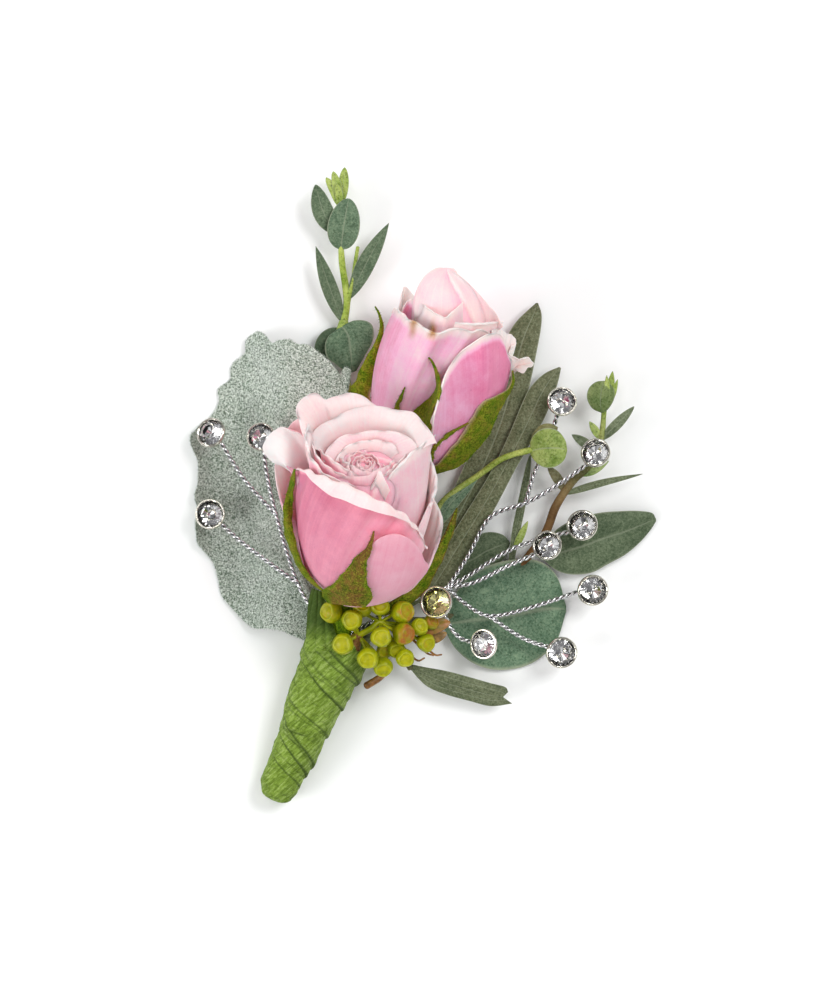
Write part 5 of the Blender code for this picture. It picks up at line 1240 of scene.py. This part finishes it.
# %% The long leaves
def long_leaves():
    skins = Skins()
    skins.tube(rooted("long_leaves", [-8.0, -25.5, 5.0], [-1.0, -21.8, 4.6], [3.0, -16.0, 4.4]), [0.9], 14, 60,
               olive=1.0)
    skins.tube([[-0.6, -21.2, 4.6], [2.0, -12.0, 5.2], [2.6, -5.4, 6.0], [4.6, -2.0, 6.4], [11.3, 2.8, 7.1],
                [16.0, 6.0, 8.2], [22.3, 7.8, 8.0]], [0.7, 0.65, 0.6], 14, 80, lumps=0.07,
               fresh=[0.2, 0.4, 0.9, 1.0], olive=1.0)
    leaf_between(skins, [(410, 596, 4.6), (424, 560, 4.2), (440, 520, 4.0), (456, 484, 3.8), (470, 452, 3.6),
                         (481, 425, 3.5), (489, 402, 3.4), (495, 380, 3.4), (500, 358, 3.4), (507, 337, 3.4),
                         (516, 322, 3.3), (527, 311, 3.2), (536, 303, 3.2)],
                 [(424, 600, 4.6), (447, 564, 4.2), (470, 525, 4.0), (494, 484, 3.8), (509, 452, 3.6),
                  (519, 425, 3.5), (526, 400, 3.4), (532, 375, 3.4), (537, 350, 3.4), (541, 328, 3.3),
                  (541.5, 314, 3.2), (538, 303, 3.2)], 0.12, rows=110, columns=31, seed=1, olive=1.0)
    leaf_between(skins, [(412, 600, 4.8), (436, 560, 5.4), (455, 530, 5.8), (472, 503, 6.0), (488, 477, 6.1),
                         (501, 452, 6.0), (512, 428, 5.6), (521, 406, 5.2), (530, 388, 4.8), (544, 374, 4.3),
                         (559, 367, 4.0)], [(426, 606, 4.8), (447, 586, 5.4), (466, 556, 5.8), (485, 526, 6.0),
                                            (501, 497, 6.1), (515, 470, 6.0), (530, 444, 5.6), (543, 421, 5.2),
                                            (552, 400, 4.8), (558, 382, 4.3), (561, 368, 4.0)], 0.2, rows=110,
                 columns=31, seed=2, olive=1.0)
    leaf(skins, [[2.0, -8.0, 5.6], [5.8, -2.6, 6.8], [11.1, 2.4, 6.9]], 1.5, (0.6, 0.9), seed=3, olive=0.1)
    leaf_between(skins, [(530, 452, 8.1), (531, 440, 8.4), (538, 431, 8.6), (548, 428, 8.7), (558, 431, 8.6),
                         (565, 440, 8.4), (567, 450, 8.2)],
                 [(530, 453, 8.1), (534, 460, 8.2), (541, 466, 8.3), (549, 468, 8.4), (557, 466, 8.4),
                  (564, 460, 8.3), (567, 451, 8.2)], 0.16, columns=31, seed=4, ripples=0.25, fresh=0.72)
    leaf_between(skins, [(531, 440, 7.9), (533, 433, 8.0), (541, 425, 8.2), (550, 423.5, 8.2), (558, 427, 8.1)],
                 [(533, 441, 7.9), (538, 434, 8.0), (544, 431, 8.2), (551, 430, 8.2), (557, 432, 8.1)], 0.1,
                 columns=9, seed=5, fresh=0.3, brown=0.45)
    skins.piece("long_leaves", long_material, "long_leaf_spray", sharp=60)


long_leaves()

# %% The right sprig
def right_sprig():
    skins = Skins()
    start = HANDLE_TOP + HANDLE_AXIS * 3.2 + (HANDLE_SIDE * 4.5 + HANDLE_UP * 0.2) * 1.058
    skins.tube(rooted("right_sprig", start, [-7.6, -26.4, 7.2], [-2.0, -26.6, 3.8], [4.0, -26.0, 2.2],
                      [14.0, -21.0, 1.5], [23.3, -10.6, 3.2], [26.5, -3.4, 4.8], [29.9, 1.6, 5.8],
                      [33.0, 4.4, 6.2], [35.3, 9.6, 6.6], [36.0, 16.4, 7.0]), [0.9, 0.9, 0.85, 0.85, 0.5], 14,
               150, lumps=0.08, olive=0.5, brown=[0.2, 0.2, 0.3, 0.6, 1.0, 0.9, 0.3, 0.0],
               fresh=[0, 0, 0, 0, 0, 0, 0.3, 0.9])
    leaf_between(skins, [(443, 622, 2.4), (452, 600, 2.6), (470, 576, 3.0), (500, 562, 3.2), (535, 560, 2.8),
                         (556, 575, 2.0), (566, 606, 0.8)],
                 [(443, 626, 2.4), (455, 648, 2.0), (475, 664, 1.6), (500, 670, 1.2), (530, 664, 0.8),
                  (555, 643, 0.5), (566, 612, 0.6)], 0.14, seed=3, columns=41)
    leaf_between(skins, [(543, 556, 3.4), (548, 543, 3.6), (556, 530, 4.0), (575, 519, 4.6), (598, 513, 4.6),
                         (622, 511, 3.8), (640, 511, 2.8), (652, 513, 1.6), (656, 519, 1.2)],
                 [(545, 560, 3.4), (553, 568, 3.2), (568, 574, 3.0), (590, 573, 2.8), (608, 564, 2.4),
                  (626, 554, 1.8), (641, 541, 1.2), (651, 529, 0.9), (656, 521, 0.9)], 0.16, seed=4, columns=31,
                 rows=80, olive=0.55, deep=0.25)
    # This leaf lies low, in shadow: its darkening is painted shade.
    leaf_between(skins, [(440, 560, 2.4), (456, 548, 2.4), (469, 541, 2.4), (480, 534, 2.3), (492, 532, 2.2),
                         (503, 535, 2.0), (509, 541, 1.8)],
                 [(444, 580, 2.4), (462, 580, 2.4), (478, 577, 2.3), (490, 570, 2.2), (501, 562, 2.0),
                  (507, 552, 1.8), (510, 543, 1.8)], 0.15, seed=5, columns=25, olive=0.6, deep=0.4)
    leaf(skins, [[17.0, -18.0, 2.0], [18.4, -9.0, 3.4], [19.8, -2.0, 4.0], [21.3, 6.6, 3.8]], 0.85, (0.5, 0.5),
         seed=7, olive=0.8)
    leaf(skins, [[18.0, -12.4, 2.6], [19.3, -9.8, 4.0], [20.8, -6.6, 4.6]], 0.75, seed=8, fresh=0.8)
    leaf_between(skins, [(602, 413, 7.2), (592, 408, 7.8), (587, 398, 8.2), (589, 388, 8.4), (596, 382, 8.6),
                         (604, 381, 8.6)], [(603, 413, 7.2), (609, 408, 7.8), (614, 399, 8.2), (614, 390, 8.4),
                                            (610, 384, 8.6), (605, 381, 8.6)], 0.2, seed=9, columns=25,
                 fresh=0.42, olive=0.3, deep=0.35)
    for tip, middle, size, seed in (((37.6, 23.2, 8.6), (37.0, 19.4, 8.0), 0.9, 10),
                                    ((36.4, 22.4, 9.0), (36.4, 19.0, 8.4), 0.7, 26),
                                    ((38.6, 21.6, 8.4), (37.6, 18.6, 8.0), 0.6, 27)):
        leaf(skins, [[36.0, 15.4, 7.0], middle, tip], size, seed=seed, rows=20, columns=9, fresh=0.85)
    leaf(skins, [[35.2, 9.4, 6.6], [38.4, 12.6, 7.4], [41.9, 16.2, 7.8]], 1.05, seed=11, olive=0.7)
    leaf(skins, [[35.3, 9.6, 6.6], [34.2, 11.4, 7.0], [33.0, 13.2, 7.4]], 0.8, seed=12, fresh=0.7)
    leaf(skins, [[34.3, 7.2, 6.4], [32.0, 9.0, 6.8], [29.5, 10.6, 7.0]], 1.0, seed=13, olive=0.7)
    leaf(skins, [[28.0, -1.2, 5.2], [35.5, 1.0, 6.2], [43.7, 2.8, 6.2]], 0.75, (0.5, 0.9), seed=14, olive=0.8)
    leaf(skins, [[27.9, -0.6, 5.2], [26.6, 2.0, 5.4], [24.7, 4.4, 5.4]], 1.0, seed=15, olive=0.8, brown=0.3)
    leaf(skins, [[31.0, 2.4, 6.0], [33.8, 3.4, 6.4], [36.9, 5.4, 6.6]], 0.75, seed=16, fresh=0.5)
    skins.tube([[-4.0, -27.2, 4.4], [-4.6, -32.0, 4.6], [-2.6, -36.0, 4.6]], [0.7, 0.6], 12, 30, olive=0.8,
               brown=0.3)
    middle = [(409.5, 665.5, 4.6), (424, 674, 4.9), (446, 683, 5.0), (469, 689.5, 4.7), (490, 695, 4.3),
              (503, 697, 4.0)]
    leaf_between(skins, [(410, 664, 4.6), (424, 667, 4.8), (446, 671, 4.9), (469, 677, 4.8), (490, 683, 4.4),
                         (505, 687, 4.0), (508, 692, 3.9)], middle, 0.3, rows=70, columns=15, seed=17,
                 ripples=0.2, olive=0.85, deep=0.12)
    leaf_between(skins, middle, [(409, 667, 4.4), (419, 679, 4.6), (430, 688, 4.7), (448, 695, 4.6),
                                 (470, 701, 4.2), (491, 706, 3.8), (512, 703.5, 3.6)], 0.3, rows=70, columns=15,
                 seed=18, ripples=0.2, olive=0.85, deep=0.12)
    skins.piece("lower_sprig", sprig_material, "right_sprig", sharp=60)


right_sprig()

# %% [markdown]
# The berries are unripe eucalyptus seed capsules. Each is a drop on a short stalk, with a flat
# face inside a raised ring. A profile turned about its own axis gives the drop, and the tone
# at each point says where the ring and the browned rim are.

# %% Berry finish
berry = Finish("seed_capsule", 0.3, Specular_IOR_Level=0.22, Subsurface_Weight=0.1,
               Subsurface_Radius=(0.6, 0.7, 0.1), Subsurface_Scale=1.0 * MM)
spots = berry.noise(berry.at(), 0.8, 5, 0.6)
skin = berry.mix(berry.steps(spots, 0.3, 0.7), (0.19, 0.24, 0.002), (0.44, 0.45, 0.004))
skin = berry.mix(berry.value("face"), skin, berry.mix(berry.steps(spots, 0.35, 0.65), (0.26, 0.27, 0.001),
                                                      (0.44, 0.42, 0.002)))
skin = berry.mix(berry.value("ring"), skin, (0.46, 0.48, 0.03))
skin = berry.mix(berry.steps(berry.maths("ADD", berry.value("brown"), berry.steps(spots, 0.3, 0.7, -0.3, 0.3)),
                             0.45, 0.9), skin, (0.36, 0.13, 0.02))
skin = berry.mix(berry.value("wood"), skin, berry.mix(berry.steps(spots, 0.35, 0.65), (0.10, 0.04, 0.012),
                                                      (0.36, 0.17, 0.05)))
skin = berry.mix(berry.steps(berry.noise(berry.at(), 4, 3), 0.60, 0.75, 0, 0.35), skin, (0.55, 0.56, 0.18))
berry_material = berry.wire(Base_Color=skin, Normal=berry.bump(berry.noise(berry.at(), 3.0, 4, 0.6), 0.2, 0.08))


# %% The berries
BERRIES = [(331, 612, 17.0, 10.2, -0.9, 0.1, 0.4), (352, 620, 18.0, 9.6, -0.15, 0.0, 0.0),
           (363, 607, 16.6, 9.2, -0.05, 0.55, 0.0), (380, 606, 17.0, 9.0, 0.05, 0.25, 0.0),
           (403, 612, 15.4, 10.6, 0.8, 0.2, 0.6), (343, 644, 17.8, 10.0, -0.2, -0.1, 0.35),
           (381, 637, 18.4, 9.6, 0.05, -0.1, 0.0), (368, 658, 17.0, 10.0, -0.05, -0.35, 0.05),
           (383, 667, 14.0, 9.2, 0.1, -0.7, 0.1), (405, 658, 15.0, 8.6, 0.2, -0.3, 0.1),
           (404, 634, 16.4, 10.2, 0.9, -0.25, 0.8), (419, 627, 14.4, 8.4, 0.55, 0.4, 0.2),
           (431, 622, 12.6, 7.4, 0.8, 0.5, 0.8), (426, 643, 13.6, 8.6, 0.6, -0.3, 0.45),
           (396, 649, 13.6, 8.4, 0.2, -0.5, 0.15), (385, 650, 12.4, 8.0, 0.1, -0.4, 0.5)]


def berries():
    """Each berry is given by its place in the picture, height, radius in pixels, how far its face
    is tipped right and up from the viewer, and how brown it is. Its stalk comes from a fork."""
    left_fork, right_fork = np.array([-12.9, -29.2, 14.2]), np.array([-8.6, -26.6, 13.4])
    skins = Skins()
    skins.tube(rooted("berries", [-14.0, -29.8, 12.6], left_fork), [0.8], 12, 40, wood=0.7)
    skins.tube([left_fork, [-10.6, -28.0, 14.0], right_fork, [-5.4, -28.2, 12.6]], [0.65, 0.6, 0.5], 12, 30,
               brown=0.1)
    h = np.linspace(0, 1, 44)
    body = np.interp(h, [0, 0.06, 0.16, 0.34, 0.52, 0.66, 0.76, 0.84, 0.88, 0.91, 1.0],
                     [0.2, 0.26, 0.50, 0.86, 1.02, 1.0, 0.89, 0.76, 0.68, 0.61, 0.04])
    rise = np.interp(h, [0, 0.16, 0.34, 0.52, 0.66, 0.76, 0.84, 0.88, 0.91, 1.0],
                     [-1.5, -1.05, -0.6, -0.1, 0.25, 0.50, 0.62, 0.62, 0.54, 0.66])
    turn = circle(30)
    ring = 0.6 * np.exp(-((h - 0.85) / 0.03) ** 2)[:, None] + 0.3 * np.exp(-((h - 0.97) / 0.02) ** 2)[:, None]
    for column, row, height, size, right, up, brown in BERRIES:
        centre, size = seen([(column, row, height)])[0], size * PIXEL * 1.06
        out = unit(np.array([right, up, 1.0]))
        fork = min((left_fork, right_fork), key=lambda point: np.linalg.norm(centre - point))
        foot = centre - out * 1.35 * size
        skins.tube([fork, (fork + foot) / 2 + [0, 0, 0.2], foot, centre - out * size], [0.36, 0.32, 0.36, 0.4],
                   10, 20, brown=0.1 * brown)
        wobble = 1 + 0.03 * np.sin(3 * turn + column) + 0.02 * np.sin(5 * turn + row)
        grid = np.stack([body[:, None] * np.cos(turn) * wobble, body[:, None] * np.sin(turn) * wobble,
                         np.repeat(rise[:, None], 30, axis=1)], axis=-1)
        skins.rings(facing(centre, out)(grid * size), ring=np.clip(ring, 0, 1),
                    face=ease(0.88, 0.92, h)[:, None], brown=brown * ease(0.35, 0.85, h)[:, None])
    leaf(skins, [[-1.6, -28.6, 11.6], [1.6, -27.6, 11.8], [5.3, -26.6, 11.2]], 1.5, (0.5, 0.6), brown=0.8,
         wood=0.5)
    leaf(skins, [[-1.2, -29.6, 11.0], [1.8, -29.8, 11.0], [4.6, -28.8, 10.6]], 1.2, (0.5, 0.6), seed=2,
         wood=0.9)
    skins.tube([left_fork, [-13.6, -32.0, 12.4], [-13.4, -35.6, 10.4]], [0.8, 1.2, 0.9], 12, 24, wood=1.0)
    skins.tube([[-7.4, -35.0, 9.6], [-8.4, -37.4, 8.6], [-11.4, -39.4, 7.2]], [0.7, 0.7, 0.75], 12, 24,
               wood=1.0, brown=0.3)
    for x, y, z, way in ((-3.4, -33.8, 10.6, 0.2), (-1.4, -34.2, 9.8, -0.3), (0.4, -32.6, 10.0, 0.5),
                         (2.0, -33.0, 9.4, 0.1)):
        skins.tube([[x - 3, y + 3, z + 1], [x, y, z], [x + 1.6, y - 1.4 * way, z - 0.6]], [0.28, 0.24, 0.16], 8,
                   16, wood=1.0)
    skins.piece("seed_berries", berry_material, "seeded_eucalyptus", sharp=60)


berries()

# %% [markdown]
# Each stone sits in a pressed metal cup. A cut stone shows its facets only if they are flat, so
# it is made of flat faces: a table, kites and triangles round it, and a pointed back. As on
# real set stones the back is silvered, which throws the light out through the top again.

# %% Stone and metal finishes
def metal_finish(name, colour, roughness, scale):
    """Polished metal, cloudy where it was handled, and black where its value for the groove between two twisted
    strands is 1: painted shade.
    """
    made = Finish(name, roughness, Metallic=1.0)
    dirt = made.noise(made.at(), scale, 4, 0.6)
    shade = tuple(0.72 * value for value in colour)
    bright = made.mix(made.steps(dirt, 0.35, 0.65), shade, colour)
    return made.wire(Base_Color=made.mix(made.value("groove"), bright, (0.02, 0.02, 0.02)),
                     Roughness=made.steps(dirt, 0.3, 0.7, roughness * 0.7, roughness * 1.5))


wire_material = metal_finish("bright_wire", (0.90, 0.90, 0.91), 0.16, 1.5)
cup_material = metal_finish("pressed_cup", (0.90, 0.87, 0.76), 0.16, 1.2)


def stone_finish(name, colour):
    made = Finish(name, 0.02, Transmission_Weight=1.0, IOR=1.62)
    tint = made.noise(made.at(), 0.5, 2)
    return made.wire(Base_Color=made.mix(tint, colour, tuple(0.97 * value for value in colour)))


stone_material = stone_finish("clear_stone", (0.99, 0.99, 0.99))
lime_material = stone_finish("lime_stone_glass", (0.98, 0.95, 0.40))
foil_material = metal_finish("silvered_back", (0.97, 0.97, 0.97), 0.06, 1.0)

# %% The stones in their cups
GEMS = {
    "left_upper": ((-42.3, 11.0, 7.8), (-0.4, 0.25, 0.9), 1.0),
    "left_hidden": ((-32.3, 10.2, 11.4), (-0.15, 0.2, 1.0), 0.95),
    "left_lower": ((-42.5, -5.2, 6.4), (-0.1, 0.1, 1.0), 1.0),
    "top_right": ((27.5, 17.2, 9.8), (0.1, 0.25, 1.0), 0.98),
    "far_right": ((34.1, 7.0, 11.6), (-0.2, 0.3, 1.0), 0.98),
    "right_middle": ((31.5, -7.4, 9.8), (-0.2, 0.25, 1.0), 1.03),
    "right_inner": ((24.5, -11.4, 11.8), (-0.25, 0.2, 1.0), 0.98),
    "right_lower": ((33.7, -20.4, 7.6), (0.15, -0.2, 1.0), 1.03),
    "low_outer": ((27.5, -32.8, 7.2), (0.2, -0.2, 1.0), 1.05),
    "low_inner": ((11.9, -31.0, 9.6), (-0.55, -0.05, 0.9), 1.0),
    "lime": ((2.5, -22.6, 14.6), (-0.32, 0.12, 1.0), 1.08),
}


def ring_of(radius, height, count):
    turn = circle(count)
    return np.column_stack([radius * np.cos(turn), radius * np.sin(turn), np.full(count, height)])


# The point behind is the last of a stone's points, after the table's 8 and the girdle's 16 and 16
POINT = 40


def cut_stone(name, centre, direction, size):
    """A brilliant cut on eight sides: the table, eight kites and eight triangles down to the
    sixteen points of the girdle, and eight silvered kites that meet in the point behind."""
    table, girdle, under = ring_of(1.42, 0.92, 8), ring_of(2.48, 0.1, 16), ring_of(2.48, -0.06, 16)
    points = np.concatenate([table, girdle, under, [[0, 0, -1.75]]])
    faces = [[k for k in range(8)]]
    for k in range(8):
        n, a, b, c, d = (k + 1) % 8, 8 + (2 * k - 1) % 16, 8 + 2 * k, 8 + 2 * k + 1, 24 + 2 * k
        faces += [[k, a, b, c], [k, c, n], [POINT, 24 + (2 * k + 2) % 16, d + 1, d]]
    for k in range(16):
        n = (k + 1) % 16
        faces.append([8 + k, 24 + k, 24 + n, 8 + n])
    mesh = bpy.data.meshes.new(name)
    mesh.from_pydata((facing(centre, direction)(points * size) * MM).tolist(), [], faces)
    shape = bmesh.new()
    shape.from_mesh(mesh)
    bmesh.ops.recalc_face_normals(shape, faces=shape.faces)
    if shape.calc_volume(signed=True) < 0:
        bmesh.ops.reverse_faces(shape, faces=shape.faces)
    for face in shape.faces:
        face.material_index = int(any(vertex.index == POINT for vertex in face.verts))
    shape.to_mesh(mesh)
    shape.free()
    made = bpy.data.objects.new(name, mesh)
    bpy.context.scene.collection.objects.link(made)
    mesh.materials.append(lime_material if "lime" in name else stone_material)
    mesh.materials.append(foil_material)
    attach(made, "root")
    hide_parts(name.replace("cut_", ""))


# The cup's profile from its foot up the outside, over the rolled rim and down inside
CUP = [(0.02, -2.5), (0.9, -2.5), (1.15, -2.42), (1.9, -1.7), (2.5, -1.1), (2.72, -0.86), (2.62, -0.72),
       (2.72, -0.58), (2.98, -0.42), (3.05, -0.3), (3.05, 0.02), (3.0, 0.2), (2.88, 0.3), (2.74, 0.3),
       (2.62, 0.2), (2.58, 0.05), (2.66, -0.3), (1.35, -1.3), (0.3, -2.08), (0.02, -2.1)]


def cup(name, centre, direction, size):
    """The cup, turned from its profile."""
    skins = Skins()
    skins.turned([(r * size, h * size) for r, h in CUP], facing(centre, direction), 48)
    skins.piece(name, cup_material, name.replace("metal_cup", "setting"), sharp=35)


for name, (centre, direction, size) in GEMS.items():
    cut_stone(f"cut_stone_{name}", centre, direction, size)
    cup(f"metal_cup_{name}", centre, direction, size)
print("stones:", len(GEMS))

# %% [markdown]
# The stones stand on craft wire, two thin bright strands twisted together. Each strand is a
# helix about the wire's route, so it catches the light in the even sparkle that a plain rod
# never has.

# %% Twisted wires
STRAND, TWIST = 0.25, 2.6
ABOUT = [0.11, 0.07, 1.0]


def twisted(skins, route, phase=0.0):
    """Two strands, half a turn apart: each follows the route plus a small circle that turns
    once for every twist length, and is a tube of its own."""
    length = np.linalg.norm(np.diff(np.array(route, float), axis=0), axis=1).sum()
    count = int(length / TWIST * 11) + 12
    path = smooth_path(route, count)
    _, side, top = square_to(path, ABOUT)
    wind = 2 * math.pi * np.linspace(0, length / TWIST, count)[:, None] + phase
    for half in (0.0, math.pi):
        centre = path + (np.cos(wind + half) * side + np.sin(wind + half) * top) * STRAND * 1.02
        _, across, over = square_to(centre, ABOUT)
        tube = centre[:, None] + spokes(across, over, 8) * STRAND
        inside = np.linalg.norm(tube - path[:, None], axis=2)
        # Painted shade: each strand is black on its side towards the other strand, in the groove between them.
        skins.rings(tube, groove=ease(1.45 * STRAND, 0.8 * STRAND, inside))


def wire_end(name):
    """Just behind a stone's cup."""
    centre, direction, size = GEMS[name]
    return np.array(centre) - unit(np.array(direction)) * (2.5 * size + 0.25)


fork = [-29.3, -5.4, 9.6]
skins = Skins()
twisted(skins, rooted("left_wire", [-22.4, -23.6, 10.6], [-25.6, -17.4, 9.8], fork, [-31.2, 3.0, 9.0],
                      wire_end("left_hidden")))
twisted(skins, [fork, [-35.6, 1.6, 7.0], wire_end("left_upper")], 1.0)
twisted(skins, [[-24.6, -19.2, 10.1], [-30.0, -15.4, 9.0], [-37.0, -10.2, 5.4], wire_end("left_lower")], 2.0)
skins.piece("twisted_left_wires", wire_material, "left_wires", sharp=80)

bunch, split, low_split = [4.7, -19.8, 9.6], [20.3, -3.0, 8.2], [12.9, -25.4, 7.6]
skins = Skins()
for number, route in enumerate([
        rooted("right_wire", [-8.4, -25.6, 9.6], [-1.0, -21.6, 9.6], bunch),
        [bunch, [8.9, -13.4, 8.0], [13.3, -5.8, 8.0], split, [26.3, 0.4, 8.4], wire_end("far_right")],
        [split, [21.9, 2.6, 7.6], [23.6, 6.4, 6.4], [25.4, 10.6, 5.8], wire_end("top_right")],
        [bunch, [9.3, -17.2, 8.4], [16.3, -12.8, 7.4], [22.4, -10.4, 7.0], wire_end("right_middle")],
        [bunch, [10.0, -18.8, 9.0], [17.0, -15.4, 9.0], wire_end("right_inner")],
        [bunch, [8.3, -23.0, 8.4], low_split, [20.0, -24.2, 6.6], wire_end("right_lower")],
        [low_split, [20.0, -30.0, 5.6], wire_end("low_outer")],
        [bunch, [4.4, -25.4, 8.2], [7.6, -30.0, 5.9], wire_end("low_inner")],
        [bunch, [4.2, -21.4, 10.6], wire_end("lime")]]):
    twisted(skins, route, 0.8 * number)
skins.piece("twisted_right_wires", wire_material, "right_wires", sharp=80)
